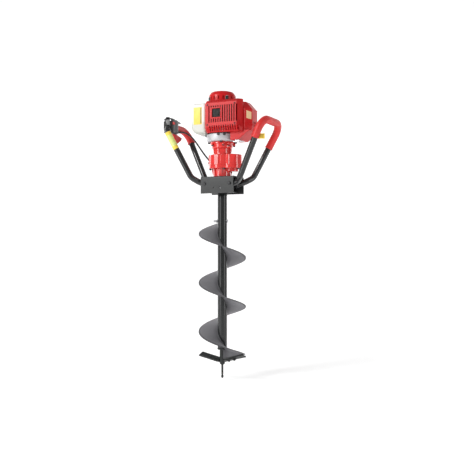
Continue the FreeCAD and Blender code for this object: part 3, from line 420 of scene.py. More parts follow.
def across_x(outline, xs):
    """A (y, z) outline repeated along X."""
    return [[(x, y, z) for y, z in outline] for x in xs]


class Shape:
    """Gathers closed solids in millimetres and turns them into one object."""

    def __init__(self):
        self.mesh = bmesh.new()

    def skin(self, rows, closed):
        """Joins a row of equal rings of vertices with faces."""
        for first, second in zip(rows, rows[1:] + (rows[:1] if closed else [])):
            for i in range(len(first)):
                j = (i + 1) % len(first)
                self.mesh.faces.new((first[i], first[j], second[j], second[i]))

    def rings(self, rings, closed=False, at=None):
        """Skins a row of equal rings of points; the ends are capped unless the row closes on itself."""
        place = at or Matrix()
        rows = [[self.mesh.verts.new(place @ Vector(point)) for point in ring] for ring in rings]
        self.skin(rows, closed)
        if not closed:
            self.mesh.faces.new(list(reversed(rows[0])))
            self.mesh.faces.new(rows[-1])

    def lathe(self, profile, count=64, at=None):
        """Turns an open (radius, height) profile about Z; both ends are capped."""
        self.rings([loop(radius, height, count) for radius, height in profile], at=at)

    def ring_lathe(self, profile, count=64, at=None):
        """Turns a closed (radius, height) profile about Z."""
        place = at or Matrix()
        self.skin([[self.mesh.verts.new(place @ Vector((r * math.cos(turn), r * math.sin(turn), z)))
                    for r, z in profile] for turn in turns(count)], True)

    def stack(self, outline, levels, at=None):
        """A polygon lofted through (height, inset) levels; its corners move in along their bisectors."""
        self.rings([[(x, y, height) for x, y in inset(outline, step)] for height, step in levels], at=at)

    def polar(self, radius_at, levels, count=144, at=None):
        """A body whose radius depends on direction, with (height, inset) levels for its rounded ends."""
        self.rings([loop(lambda turn: radius_at(turn) - step, height, count)
                    for height, step in levels], at=at)

    def block(self, start, end, edge=1.0, at=None):
        """A box with softened vertical, top and bottom edges."""
        x0, y0, z0 = start
        x1, y1, z1 = end
        outline = round_corners(rectangle(x0, y0, x1, y1), edge, 3)
        self.stack(outline, soft_levels(z0, z1, edge, edge), at=at)

    def sweep(self, path, radius_at, count=32):
        """A round rod along points; radius_at takes the distance along it."""
        travelled = itertools.accumulate(((b - a).length for a, b in zip(path, path[1:])), initial=0.0)
        sides = carried_sides(path)
        self.rings([rod_ring(point, side, radius_at(along), count)
                    for point, side, along in zip(path, sides, travelled)])

    def hull(self, points, at=None):
        """The convex solid around a set of points."""
        place = at or Matrix()
        solid = bmesh.new()
        for point in points:
            solid.verts.new(place @ Vector(point))
        made = bmesh.ops.convex_hull(solid, input=solid.verts)
        spare = dict.fromkeys(made["geom_interior"] + made["geom_unused"])
        bmesh.ops.delete(solid, geom=[item for item in spare if isinstance(item, bmesh.types.BMVert)],
                         context="VERTS")
        bmesh.ops.dissolve_limit(solid, angle_limit=0.01, verts=solid.verts, edges=solid.edges)
        copies = {vert: self.mesh.verts.new(vert.co) for vert in solid.verts}
        for face in solid.faces:
            self.mesh.faces.new([copies[vert] for vert in face.verts])
        solid.free()

    def plain(self, name):
        """The solids as a bare mesh object in metres."""
        bmesh.ops.recalc_face_normals(self.mesh, faces=self.mesh.faces)
        bmesh.ops.scale(self.mesh, vec=(MM, MM, MM), verts=self.mesh.verts)
        data = bpy.data.meshes.new(name)
        self.mesh.to_mesh(data)
        self.mesh.free()
        return put(name, data)

    def object(self, name, material, replaces=(), slot=None, body="powerhead",
               bevel=0.0, segments=2, smooth=35, angle=32, minus=()):
        """One finished piece: minus holds shapes that are cut out of it before its edges are rounded."""
        obj = self.plain(name)
        for tool in minus:
            carve(obj, tool)
        data = obj.data
        for face in data.polygons:
            face.use_smooth = True
        if bevel:
            modifier = obj.modifiers.new("edges", "BEVEL")
            modifier.width = bevel * MM
            modifier.segments = segments
            modifier.limit_method = "ANGLE"
            modifier.angle_limit = math.radians(angle)
            modifier.harden_normals = True
        else:
            data.set_sharp_from_angle(angle=math.radians(smooth))
        data.materials.append(MAT[material])
        if body:
            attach(obj, body)
        if replaces:
            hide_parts(*replaces)
        return obj


def carried_sides(path):
    """Two directions across the path at each of its points, which turn as little as they can."""
    padded = [path[0], *path, path[-1]]
    tangents = [(after - before).normalized() for before, after in zip(padded, padded[2:])]
    side = tangents[0].orthogonal().normalized()
    sides = []
    for along in tangents:
        side = (side - along * side.dot(along)).normalized()
        sides.append((side, along.cross(side)))
    return sides


def rod_ring(point, sides, radius, count):
    return [point + (sides[0] * math.cos(turn) + sides[1] * math.sin(turn)) * radius for turn in turns(count)]


def carve(obj, tool):
    """Cuts a shape out of an object's mesh."""
    cutter = tool.plain("cutter")
    modifier = obj.modifiers.new("cut", "BOOLEAN")
    modifier.operation = "DIFFERENCE"
    modifier.solver = "EXACT"
    modifier.use_self = True
    modifier.object = cutter
    graph = bpy.context.evaluated_depsgraph_get()
    result = bpy.data.meshes.new_from_object(obj.evaluated_get(graph))
    obj.modifiers.remove(modifier)
    result.name = obj.name
    old = obj.data
    obj.data = result
    bpy.data.meshes.remove(old)
    bpy.data.objects.remove(cutter)


def neighbours(outline):
    """Each corner of a closed outline, between the one before it and the one after it."""
    points = [Vector(point) for point in outline]
    return list(zip(points[-1:] + points[:-1], points, points[1:] + points[:1]))


def inset(outline, step):
    """The outline with each corner moved inwards so that its sides shift by step."""
    if not step:
        return list(outline)
    area = sum(here.x * after.y - after.x * here.y for _, here, after in neighbours(outline))
    sign = 1 if area > 0 else -1
    moved = []
    for before, here, after in neighbours(outline):
        first = (here - before).normalized()
        second = (after - here).normalized()
        normal_a = Vector((-first.y, first.x)) * sign
        normal_b = Vector((-second.y, second.x)) * sign
        both = normal_a + normal_b
        scale = 2 / max(both.length_squared, 0.5)
        moved.append(tuple(here + both * scale * step))
    return moved


def round_corners(outline, radius, steps):
    """The outline with every corner replaced by an arc."""
    points = []
    for before, here, after in neighbours(outline):
        back = (before - here).normalized()
        ahead = (after - here).normalized()
        half = (math.pi - back.angle(ahead)) / 2
        reach = min(radius * math.tan(half), 0.45 * min((before - here).length, (after - here).length))
        first = here + back * reach
        last = here + ahead * reach
        for k in range(steps + 1):
            part = k / steps
            points.append(tuple(first * (1 - part) ** 2 + here * 2 * part * (1 - part) + last * part ** 2))
    return points


def soft_levels(start, end, low_edge, high_edge, steps=4):
    """Levels of a rounded end: quarter circles of the given radii at the bottom and the top."""
    bend = [math.pi / 2 * i / steps for i in range(steps + 1)]
    return ([(start + low_edge * (1 - math.cos(turn)), low_edge * (1 - math.sin(turn))) for turn in bend]
            + [(end - high_edge * (1 - math.sin(turn)), high_edge * (1 - math.cos(turn))) for turn in bend])


def arc_points(points, radii, steps=14):
    """Points along straight runs joined by tangent arcs."""
    path = [Vector(points[0])]
    for before, corner, after, radius in zip(points, points[1:], points[2:], radii):
        before, corner, after = Vector(before), Vector(corner), Vector(after)
        back = (before - corner).normalized()
        ahead = (after - corner).normalized()
        half = (math.pi - back.angle(ahead)) / 2
        reach = radius * math.tan(half)
        inward = (back + ahead).normalized()
        centre = corner + inward * (radius / math.cos(half))
        first = corner + back * reach - centre
        last = corner + ahead * reach - centre
        axis = first.cross(last).normalized()
        for i in range(steps + 1):
            path.append(centre + Matrix.Rotation(first.angle(last) * i / steps, 3, axis) @ first)
    path.append(Vector(points[-1]))
    return path


def frame_at(origin, along, up=(0, 0, 1)):
    """A matrix whose Z runs along a direction from a point."""
    axis = Vector(along).normalized()
    side = Vector(up).cross(axis)
    if side.length < 0.01:
        side = Vector((1, 0, 0))
    side.normalize()
    other = axis.cross(side)
    turn = Matrix((side, other, axis)).transposed().to_4x4()
    return Matrix.Translation(Vector(origin)) @ turn


def hex_bolt(shape, seat, along, across, height, shank=0.0, washer=True):
    """A hexagon head with a chamfered top on a washer; along points out of the head."""
    place = frame_at(seat, along)
    if washer:
        rim = across + 1.8
        shape.lathe([(rim - 0.2, 0), (rim, 0.4), (rim, 1.2), (rim - 0.4, 1.5)], 32, place)
    shape.lathe([(across, 1.4), (across, height - 1), (across * 0.86, height)], 6, place)
    if shank:
        shape.lathe([(across * 0.52, -shank), (across * 0.58, -shank + 1), (across * 0.58, 1.4)], 24, place)


def socket_screw(shape, seat, along, radius, height):
    """A cap screw with a hexagon socket sunk in its head; along points out of the head."""
    def socket(turn):
        return 0.52 * radius * math.cos(math.pi / 6) / math.cos(turn % (math.pi / 3) - math.pi / 6)

    head = [(radius, 0), (radius, height - 0.7), (radius - 0.7, height)]
    shape.lathe(head + [(socket, height), (socket, height - 2.4)], 24, frame_at(seat, along))


# ---------------------------------------------------------------- the throttle cable

# the route's points, in metres, from the throttle housing to the carburettor
CABLE_ROUTE = [(-0.211, -0.011, 1.052), (-0.208, 0.017, 1.056), (-0.199, 0.043, 1.055),
               (-0.182, 0.062, 1.040), (-0.161, 0.072, 1.010), (-0.139, 0.077, 0.977),
               (-0.116, 0.080, 0.946), (-0.090, 0.084, 0.919), (-0.058, 0.089, 0.903),
               (-0.031, 0.092, 0.903), (-0.012, 0.090, 0.922), (-0.008, 0.084, 0.951),
               (0.000, 0.077, 0.981), (0.012, 0.072, 1.009), (0.024, 0.0675, 1.031), (0.026, 0.066, 1.044)]
CABLE_DIAMETER = 0.007


def make_cable():
    data = bpy.data.curves.new("throttle_cable_sleeve", "CURVE")
    data.dimensions = "3D"
    data.resolution_u = 12
    data.bevel_depth = CABLE_DIAMETER / 2
    data.bevel_resolution = 5
    data.use_fill_caps = True
    line = data.splines.new("NURBS")
    line.points.add(len(CABLE_ROUTE) - 1)
    for point, place in zip(line.points, CABLE_ROUTE):
        point.co = (*place, 1)
    line.order_u = 3
    line.use_endpoint_u = True
    cable = put("throttle_cable_sleeve", data)
    data.materials.append(MAT["cable"])
    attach(cable, "powerhead")
    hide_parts("throttle_cable")


# ---------------------------------------------------------------- the bit

FLIGHT_PITCH = 206.0
FLIGHT_START = 115.87      # the direction, in degrees, at which the top of the flight is cut off
FLIGHT_END = 1090.0
FLIGHT_STEP = 3.0
FLIGHT_THICK = 4.0
TUBE_RADIUS = 20.0


def flight_height(turn):
    """The height of the flight's lower face in a direction in degrees."""
    return high("flight").z - FLIGHT_THICK - (turn - FLIGHT_START) * FLIGHT_PITCH / 360


def flight_point(radius, turn, lift):
    """A point at a radius and a direction in degrees, so far above the flight's lower face."""
    return Vector(about_axis(radius, turn, flight_height(turn) + lift))


def make_flight():
    outer = 100.0
    inner = 19.2
    edge = 0.9
    lower = [(inner + (outer - inner) * i / 6, 0) for i in range(6)]
    lower += [(outer - edge, 0), (outer - 0.25, 0.3), (outer, edge)]
    section = lower + [(radius, FLIGHT_THICK - z) for radius, z in reversed(lower)]
    count = round((FLIGHT_END - FLIGHT_START) / FLIGHT_STEP)
    directions = [FLIGHT_START + (FLIGHT_END - FLIGHT_START) * i / count for i in range(count + 1)]
    shape = Shape()
    shape.rings([[flight_point(r, turn, z) for r, z in section] for turn in directions])
    shape.object("flight_plate", "flight", ["flight"], body="auger_bit", smooth=50)


def make_flight_welds():
    """A rippled bead of weld above and below the flight, where it meets the tube."""
    shape = Shape()
    for lift, size in ((4.6, 2.6), (-0.6, 2.2)):
        path = [flight_point(TUBE_RADIUS + 0.3, FLIGHT_START + 4 + 2 * i, lift)
                for i in range(int((FLIGHT_END - FLIGHT_START - 8) / 2))]
        shape.sweep(path, lambda along: size + 0.32 * math.sin(along * 1.9), 8)
    shape.object("flight_welds", "flight", body="auger_bit", smooth=60)


def make_auger_tube():
    shape = Shape()
    bottom = low("auger_tube").z
    top = high("auger_tube").z
    profile = [(17.0, bottom + 1), (19.2, bottom), (TUBE_RADIUS, bottom + 1)]
    profile += [(TUBE_RADIUS, bottom + (top - bottom) * i / 12) for i in range(1, 12)]
    profile += [(TUBE_RADIUS, top - 1), (19.2, top), (17.2, top), (17.0, top - 1)]
    shape.ring_lathe(profile, 96)
    hole = Shape()
    hole.lathe([(4.1, -60), (4.1, 60)], 32, frame_at((0, 0, middle("shaft_cross_bolt").z), (1, 0, 0)))
    shape.object("auger_shaft_tube", "shaft_grey", ["auger_tube"], body="auger_bit", smooth=40, minus=[hole])
    collar = Shape()
    collar.ring_lathe([(17.5, bottom - 3), (19.5, bottom - 3.4), (21.2, bottom - 1.4), (21.6, bottom + 1.2),
                       (20.4, bottom + 3), (19.0, bottom + 3)], 72)
    collar.object("tube_end_weld", "shaft_grey", body="auger_bit", smooth=60)


BLADE_DIRECTIONS = (7, 187)
BLADE_HEIGHT = 76.0
BLADE_ROOT = 14.2          # how far from the axis a blade starts
BLADE_RISE = 14
BLADE_RAKE = 26
BLADE_THICK = 5.0
BLADE_BOLTS = (16, 40)     # along the blade


def blade_frame(direction):
    """Where a blade lies: out along its direction, tilted up and raked down at its leading edge."""
    root = Matrix.Translation((0, 0, BLADE_HEIGHT)) @ turned(direction)
    root = root @ Matrix.Translation((BLADE_ROOT, 0, 0))
    return root @ turned(-BLADE_RISE, "Y") @ turned(-BLADE_RAKE, "X")


def make_cutters():
    blades = Shape()
    bolts = Shape()
    holes = Shape()
    for direction in BLADE_DIRECTIONS:
        place = blade_frame(direction)
        out = place.to_3x3() @ Vector((0, 0, 1))
        blades.rings([[(0, -15, z), (84, -15, z), (end, edge, z), (0, edge, z)]
                      for z, end, edge in ((0, 89, 15), (1.6, 89, 15), (BLADE_THICK, 88.2, 11))], at=place)
        for along in BLADE_BOLTS:
            hex_bolt(bolts, place @ Vector((along, 0, BLADE_THICK)), out, 5.2, 4.6, 13, washer=False)
            hex_bolt(bolts, place @ Vector((along, 0, -3.95)), -out, 5.0, 5.0)
            holes.lathe([(3.1, -12), (3.1, 12)], 24, place @ Matrix.Translation((along, 0, 0)))
    blades.object("cutter_blades", "blade", ["cutting_blades"], body="auger_bit", bevel=0.5, segments=2,
                  minus=[holes])
    bolts.object("cutter_bolts", "bolt", ["blade_bolts"], body="auger_bit", smooth=30)


def make_flight_foot():
    """The web that closes the wedge between the flight's last turn and the blade under it."""
    shape = Shape()
    place = blade_frame(BLADE_DIRECTIONS[0])
    points = []
    for along in (-6, 4, 30, 56, 80):
        for across in (-12, -8):
            point = place @ Vector((along, across, 4.8))
            further = place @ Vector((max(along, 4), across, 4.8))
            turn = math.degrees(math.atan2(further.y, further.x)) + 1080
            points.append([tuple(point), (point.x, point.y, flight_height(turn) + 1)])
    for i in range(0, len(points) - 2, 2):
        shape.hull([corner for pair in points[i:i + 4] for corner in pair])
    shape.object("flight_foot", "flight", body="auger_bit", smooth=40)


def make_pilot():
    """The rod under the cutters, with a small cutting bulb at its tip."""
    shape = Shape()
    profile = [(0.5, 0.1), (1.9, 1.6), (3.8, 3.6), (5.2, 6.0), (5.6, 8.8), (4.9, 11.8), (3.6, 14.4),
               (3.3, 15.6), (4.3, 18.0), (4.3, 30.0), (4.3, 45.0), (4.3, 60.0), (4.3, 65.5)]
    shape.lathe(profile, 40)
    for half in (0, 180):
        for i in range(2):
            shape.hull([(x, side * y, z) for side in (-1, 1)
                        for x, y, z in ((0, 0.6, 2.2), (4.2, 0.7, 6.0), (4.4, 0.7, 10), (0, 0.6, 12))],
                       turned(half + 8 * i))
    shape.object("pilot_rod", "blade", ["pilot_point"], body="auger_bit", smooth=45)
    weld = Shape()
    weld.ring_lathe([(3.4, 57.0), (4.6, 56.6), (6.6, 58.4), (8.4, 60.2), (8.0, 61), (3.4, 61)], 48)
    weld.object("pilot_weld", "blade", body="auger_bit", smooth=60)


def make_cross_bolt():
    shape = Shape()
    z = middle("shaft_cross_bolt").z
    hex_bolt(shape, (20.1, 0, z), (1, 0, 0), 7.4, 6.5, 60.0, washer=False)
    shape.lathe([(3.2, 0), (4, 1), (4, 6)], 24, frame_at((-33.9, 0, z), (1, 0, 0)))
    shape.object("cross_bolt", "steel", ["shaft_cross_bolt"], body="auger_bit", smooth=30)
    nut = Shape()
    nut.lathe([(7.4 * 0.93, 0), (7.4, 0.8), (7.4, 5.4), (7.4 * 0.9, 6.4)], 6,
              frame_at((-20.2, 0, z), (-1, 0, 0)))
    nut.object("cross_nut", "steel", ["cross_bolt_nut"], body="auger_bit", smooth=30)


# ---------------------------------------------------------------- bracket and handles

def make_bracket():
    """The folded steel channel: its outline lies across Y and Z and runs along X."""
    box_low, box_high = corners("mounting_bracket")
    depth, wall = box_high.y, 4.0

    def channel(half, top, bottom, edge, steps, x):
        """A solid bar between -x and x, with a rounded top."""
        bar = Shape()
        outline = [(-half, top), (-half, bottom), (half, bottom), (half, top)]
        bar.rings(across_x(round_corners(outline, edge, steps), (-x, x)))
        return bar

    shape = channel(depth, box_high.z, box_low.z - 20, 6, 5, box_high.x)
    room = channel(depth - wall, box_high.z - wall, box_low.z - 60, 3, 4, box_high.x + 5)
    foot = Shape()
    foot.hull(grid((-90, 90), (-70, 70), (box_low.z - 70, box_low.z)))
    holes = Shape()
    holes.lathe([(24, 830), (24, 860)], 72)
    for side in (-1, 1):
        holes.lathe([(3.3, 40), (3.3, 60)], 32, frame_at((side * 15, 0, 802), (0, -1, 0)))
    shape.object("bracket_channel", "bracket", ["mounting_bracket"], bevel=0.8, segments=3,
                 minus=[room, foot, holes])


def make_bracket_fittings():
    bolts = Shape()
    depth = high("mounting_bracket").y
    for side in (-1, 1):
        for end in (-1, 1):
            hex_bolt(bolts, (side * 58, end * depth, 820), (0, end, 0), 6.4, 5.4, 38)
    bolts.object("handle_bolt_set", "bolt", ["handle_bolts"], smooth=30)
    seams = Shape()
    for end in (-1, 1):
        path = [Vector((x, end * (depth - 5.2), 788.4)) for x in range(-48, 49)]
        seams.sweep(path, lambda along: 1.5 + 0.2 * math.sin(along * 1.5), 8)
    seams.object("bracket_welds", "bracket", smooth=60)


GRIP_X, GRIP_Y, GRIP_Z = 226.0, 100.0, 1070.0
FOOT = (114.0, 66.0, 847.0)


def handle_route(side):
    front = [(side * 38, -36, 812), (side * 90, -36, 828), (side * FOOT[0], -FOOT[1], FOOT[2]),
             (side * GRIP_X, -GRIP_Y, GRIP_Z)]
    return front + [(x, -y, z) for x, y, z in reversed(front)]


def leg_point(side, end, height):
    """A point of a handle's front (end -1) or back (end 1) leg."""
    foot = Vector((side * FOOT[0], end * FOOT[1], FOOT[2]))
    corner = Vector((side * GRIP_X, end * GRIP_Y, GRIP_Z))
    return foot + (corner - foot) * ((height - foot.z) / (corner.z - foot.z))


def fine(path, step=4.0):
    """The path with its long runs divided."""
    points = [path[0]]
    for before, after in zip(path, path[1:]):
        parts = max(1, round((after - before).length / step))
        points += [before.lerp(after, k / parts) for k in range(1, parts + 1)]
    return points


def tube_rings(path, outer, wall, count=48):
    """The rings of a hollow tube along a path, outside first and then back along the inside."""
    stations = list(zip(path, carried_sides(path)))
    return [rod_ring(point, side, outer, count) for point, side in stations] + \
           [rod_ring(point, side, outer - wall, count) for point, side in reversed(stations)]


def make_handle_tubes():
    for side, name in ((-1, "left"), (1, "right")):
        path = arc_points(handle_route(side), [35, 35, 45, 45, 35, 35], 12)
        shape = Shape()
        shape.rings(tube_rings(fine(path, 12), 12.5, 2.0), closed=True)
        shape.object("handle_loop_" + name, "tube_black", ["handle_tube_" + name], smooth=50)


def grip_radius(total):
    """A moulded sleeve: raised lips at both ends and shallow finger rings between."""
    def radius(along):
        edge = min(along, total - along)
        if edge < 1.2:
            return 15.2 + edge
        if edge < 5:
            return 16.6
        if edge < 7:
            return 16.6 - (edge - 5) * 0.5
        return 15.6 + 0.35 * math.cos(along * 2 * math.pi / 7.0) * min(1, (edge - 7) / 6)
    return radius


def make_grips():
    corner = [(GRIP_X, -GRIP_Y, GRIP_Z), (GRIP_X, GRIP_Y, GRIP_Z)]
    right = arc_points([leg_point(1, -1, 997)] + corner + [leg_point(1, 1, 970)], [45, 45], 16)
    left = arc_points([(-GRIP_X, -10, GRIP_Z), (-GRIP_X, GRIP_Y, GRIP_Z), leg_point(-1, 1, 1014)], [45], 16)
    for name, path in (("grip_right", right), ("grip_left", left)):
        path = fine(path, 1.2)
        total = sum((b - a).length for a, b in zip(path, path[1:]))
        shape = Shape()
        shape.sweep(path, grip_radius(total), 44)
        shape.object(name + "_sleeve", "grip", [name], smooth=45)


def make_leg_labels():
    """Two plain labels wrapped round the left front leg."""
    for name, start, stop, radius, material in (("leg_label", 968, 1040, 12.7, "yellow"),
                                                ("leg_label_middle", 981, 1027, 12.85, "pale")):
        path = fine([leg_point(-1, -1, start), leg_point(-1, -1, stop)], 6)
        shape = Shape()
        shape.rings(tube_rings(path, radius, 0.25, 64), closed=True)
        shape.object(name, material, slot="grip_red", smooth=50)


TAG_STEPS = 12


def make_tag():
    """A folded paper tag stuck round the right front leg, its two halves meeting behind."""
    base = leg_point(1, -1, 1000)
    right = Vector((math.cos(VIEW_AZIMUTH), math.sin(VIEW_AZIMUTH), 0))
    out = Vector((math.sin(VIEW_AZIMUTH), -math.cos(VIEW_AZIMUTH), 0))

    def strip(first, last, centre, half, back, front):
        """A band along the tag's curl; back and front are its faces' places across the paper."""
        rows = []
        for part in [i / TAG_STEPS for i in range(first, last)]:
            bow = math.sin(part * math.pi * (1 if half > 1 else 0.9))
            lift = half - 0.5 * bow if half > 1 else half
            spine = base + right * (9 + 29 * part) + out * (2 + 2.2 * math.sin(part * math.pi * 0.9))
            rows.append([spine + out * depth + Vector((0, 0, centre + side * lift))
                         for side, depth in ((-1, back), (-1, front), (1, front), (1, back))])
        return rows

    shape = Shape()
    shape.rings(strip(0, TAG_STEPS + 1, 0, 11, -0.3, 0.3))
    shape.object("hang_tag", "tag", slot="grip_red", bevel=0.1, segments=1)
    mark = Shape()
    for height in (-4.5, 0.5, 5.5):
        mark.rings(strip(2, TAG_STEPS - 1, height, 0.9, 0.45, 0.57))
    mark.object("hang_tag_bars", "ink", slot="grip_red", smooth=60)


# ---------------------------------------------------------------- throttle control

def housing_half(start, stop, width, low_z, high_z, edge_start, edge_stop):
    """A rounded shell along Y, centred on the left bar."""
    outline = round_corners(rectangle(-width, low_z, width, high_z), 11, 6)
    levels = soft_levels(start, stop, edge_start, edge_stop, 5)
    place = Matrix.Translation((-GRIP_X, 0, 0))
    shape = Shape()
    shape.rings([[(x, y, z) for x, z in inset(outline, step)] for y, step in levels], at=place)
    return shape


def make_throttle_housing():
    front = low("throttle_housing_front")
    back = high("throttle_housing_rear")
    parting = high("throttle_housing_front").y
    half = 22.0
    shell = housing_half(front.y, parting - 0.3, half, front.z, high("throttle_housing_front").z, 10, 1.2)
    shell.object("throttle_shell_front", "plastic", ["throttle_housing_front"], smooth=45)
    shell = housing_half(parting + 0.3, back.y, 20.0, low("throttle_housing_rear").z,
                         high("throttle_housing_rear").z, 1.2, 3.5)
    rooms = Shape()
    rooms.block((-GRIP_X - 6, -40, 1039), (-GRIP_X + 6, 0, 1056), 0.5)
    rooms.block((-GRIP_X - 5.2, -37, 1086), (-GRIP_X + 5.2, 0, 1110), 0.5)
    shell.object("throttle_shell_rear", "plastic", ["throttle_housing_rear"], smooth=45, minus=[rooms])

    screws = Shape()
    for x, z in ((-16, 1050), (16, 1050), (-16, 1095), (16, 1095)):
        socket_screw(screws, (-GRIP_X + x, front.y + 0.4, z), (0, -1, 0), 3.0, 1.6)
    screws.object("throttle_screws", "steel", smooth=30)


def make_throttle_controls():
    """The trigger, the lockout lever, the stop switch and the boss on top of the housing."""
    outline = [(-36, 1050), (-22, 1050), (-6, 1045), (44, 1034), (43, 1029), (38, 1022), (12, 1007),
               (3, 1004.2), (-3, 1006), (-8, 1016), (-12, 1024), (-22, 1038), (-36, 1041)]
    flat = Shape()
    flat.rings(across_x(outline, (-GRIP_X - 5.2, -GRIP_X + 5.2)))
    flat.object("throttle_trigger_lever", "trigger", ["throttle_trigger"], body="trigger", bevel=2.2,
                segments=4, angle=45)
    lever = Shape()
    outline = [(-34, 1094), (-12, 1094), (34, 1095), (36, 1097), (35.6, 1099), (10, 1104), (-4, 1106.4),
               (-12, 1107), (-22, 1105), (-34, 1102)]
    lever.rings(across_x(outline, (-GRIP_X - 4.5, -GRIP_X + 4.5)))
    lever.object("lockout_paddle", "plastic", ["lockout_lever"], body="lockout", bevel=1.4, segments=3,
                 angle=45)
    switch = Shape()
    outline = [(-66, 1078.2), (-52, 1078.2), (-52, 1089.4), (-56, 1087.6), (-59, 1087), (-62, 1087.6),
               (-66, 1089.4)]
    switch.rings(across_x(outline, (-GRIP_X + 22.3, -GRIP_X + 26.2)))
    switch.object("stop_switch_rocker", "trigger", ["ignition_switch"], body="stop_switch", bevel=0.7,
                  segments=2)
    boss = Shape()
    boss.lathe([(8, 0), (8.6, 0.6), (8.6, 3.4), (7.6, 4.4)], 40,
               frame_at((-GRIP_X - 2, low("throttle_housing_front").y + 8, 1105.4), (0, 0, 1)))
    boss.object("housing_top_boss", "plastic", smooth=40)


def make_cable_ends():
    shape = Shape()
    start = Vector(CABLE_ROUTE[0]) / MM
    ahead = (Vector(CABLE_ROUTE[1]) - Vector(CABLE_ROUTE[0])).normalized()
    profile = [(5.6, -2), (6.0, -1), (6.0, 4)]
    for i in range(5):
        z = 5 + 4 * i
        radius = 5.6 - 0.35 * i
        profile += [(radius, z), (radius, z + 2.2), (radius - 0.9, z + 2.6), (radius - 0.9, z + 3.6)]
    profile += [(3.9, 25.5)]
    shape.lathe(profile, 32, frame_at(start, ahead))
    end = Vector(CABLE_ROUTE[-1]) / MM
    shape.lathe([(4.0, -14), (4.8, -13), (4.8, -9), (5.0, -8), (5.0, 0)], 32, frame_at(end, (0, 0, 1)))
    shape.lathe([(6.2, 0), (6.2, 5)], 6, frame_at(end - Vector((0, 0, 8)), (0, 0, 1)))
    shape.object("cable_boots", "seal", smooth=35)


# ---------------------------------------------------------------- gearbox and clutch

PAD_HALF = 0.15        # half of a screw pad's width, in radians about the axis
PAD_EDGE = 0.035


def lobed(big, small, centre, pads=()):
    """The outline, seen from the axis, of a circle joined to a smaller one at +X, with flat-faced pads.

    Each pad is its direction in degrees and the distance of its face from the axis."""
    def radius(turn):
        across = math.cos(turn)
        reach = big
        inside = small ** 2 - (centre * math.sin(turn)) ** 2
        if inside > 0 and across > 0:
            other = centre * across + math.sqrt(inside)
            blend = 6.0
            gap = max(-1.0, min(1.0, (other - big) / blend))
            reach = max(big, other) + blend * 0.25 * (1 - abs(gap)) ** 2
        for direction, distance in pads:
            away = abs((turn - math.radians(direction) + math.pi) % (2 * math.pi) - math.pi)
            if away < PAD_HALF + PAD_EDGE:
                face = distance / math.cos(min(away, PAD_HALF))
                part = max(0.0, away - PAD_HALF) / PAD_EDGE
                reach = max(reach, face + (reach - face) * part)
        return reach
    return radius


BELL_SCREWS = (-120, -60, -30, 30, 90, 150)
BELL_SCREW_RADIUS = 50.5
CASE_SCREW_RADIUS = 50.5
CASE_FLANGE = 884.0        # the height of the gearbox's lower flange


def rib(shape, degrees, half, profile):
    """A flat rib that stands out from the axis in a direction, with an (x, z) profile."""
    shape.hull([(x, y, z) for y in (-half, half) for x, z in profile], turned(degrees))


def make_gearbox():
    centre = 45.0
    case_low = low("gearbox_case").z
    bracket_top = high("mounting_bracket").z
    pads = ((-91.5, 57.6), (-36, 69.0), (-62, 55.8), (205, 57.6), (155, 57.6), (100, 57.6), (36, 69.0))
    shape = Shape()
    shape.polar(lobed(55.0, 43.0, centre, pads), soft_levels(case_low + 0.4, 942, 1.0, 4.5, 5), 360)
    shape.polar(lobed(57.0, 45.0, centre), soft_levels(case_low + 0.2, case_low + 7, 0.5, 1.4, 3), 200)
    neck = [(39, 940), (37.6, 943), (36.4, 947), (36, 952), (36, 960), (36.4, 965), (36.8, 966.8)]
    shape.lathe(neck, 96)
    shape.object("gearbox_upper_case", "gearbox", ["gearbox_case"], smooth=40)
    base = Shape()
    base.polar(lobed(57.0, 45.0, centre), soft_levels(CASE_FLANGE, case_low - 0.2, 1.6, 0.5, 4), 200)
    base.lathe([(36, bracket_top + 0.2), (38, bracket_top + 1.6), (38, CASE_FLANGE - 4),
                (40, CASE_FLANGE - 1), (44, CASE_FLANGE + 1)], 96)
    base.lathe([(20, 870), (25, 870.4), (27, 872.4), (27.4, CASE_FLANGE + 1)], 72,
               Matrix.Translation((centre, 0, 0)))
    for i in range(6):
        rib(base, 155 + 45 * i, 2.2, [(34, bracket_top + 8), (39.6, bracket_top + 8), (41, CASE_FLANGE - 6),
                                      (45, CASE_FLANGE + 1), (34, CASE_FLANGE + 1)])
    base.object("gearbox_lower_case", "gearbox", ["gearbox_base"], smooth=40)
    nipple = Shape()
    place = frame_at((-56, -6, 912), (-1, -0.15, 0))
    nipple.lathe([(4.4, -3), (4.4, 4)], 6, place)
    nipple.lathe([(2.6, 3.8), (2.6, 6.4), (1.7, 7.2), (2.6, 8.4), (1.6, 10)], 24, place)
    nipple.object("grease_nipple", "bolt", smooth=35)


def make_clutch_housing():
    low_z = low("clutch_housing").z
    top = high("clutch_housing").z
    shape = Shape()
    profile = [(38, low_z + 0.3), (40, low_z + 1.2), (42.6, low_z + 3.2), (44, low_z + 5),
               (44.6, low_z + 7.4), (44.6, top - 9), (49, top - 7.6), (51.4, top - 6.4), (51.4, top - 1.4),
               (50.6, top - 0.3)]
    shape.lathe(profile, 120)
    for i in range(8):
        rib(shape, -91.5 + 45 * i, 2.2, [(35.4, low_z - 20), (38.4, low_z - 20), (39.4, low_z + 2),
                                         (42, low_z + 5), (35.4, low_z + 5)])
    for angle in BELL_SCREWS:
        place = Matrix.Translation(about_axis(BELL_SCREW_RADIUS, angle, 0)) @ turned(angle)
        shape.lathe([(4.6, top - 14), (5.4, top - 13), (5.4, top - 1.4), (4.8, top - 0.6)], 28, place)
    shape.object("clutch_bell_housing", "gearbox", ["clutch_housing"], smooth=38)
    screws = Shape()
    for angle in BELL_SCREWS:
        socket_screw(screws, about_axis(BELL_SCREW_RADIUS, angle, top - 13.6), (0, 0, -1), 4.4, 4.6)
    screws.object("clutch_screws", "bolt", smooth=30)


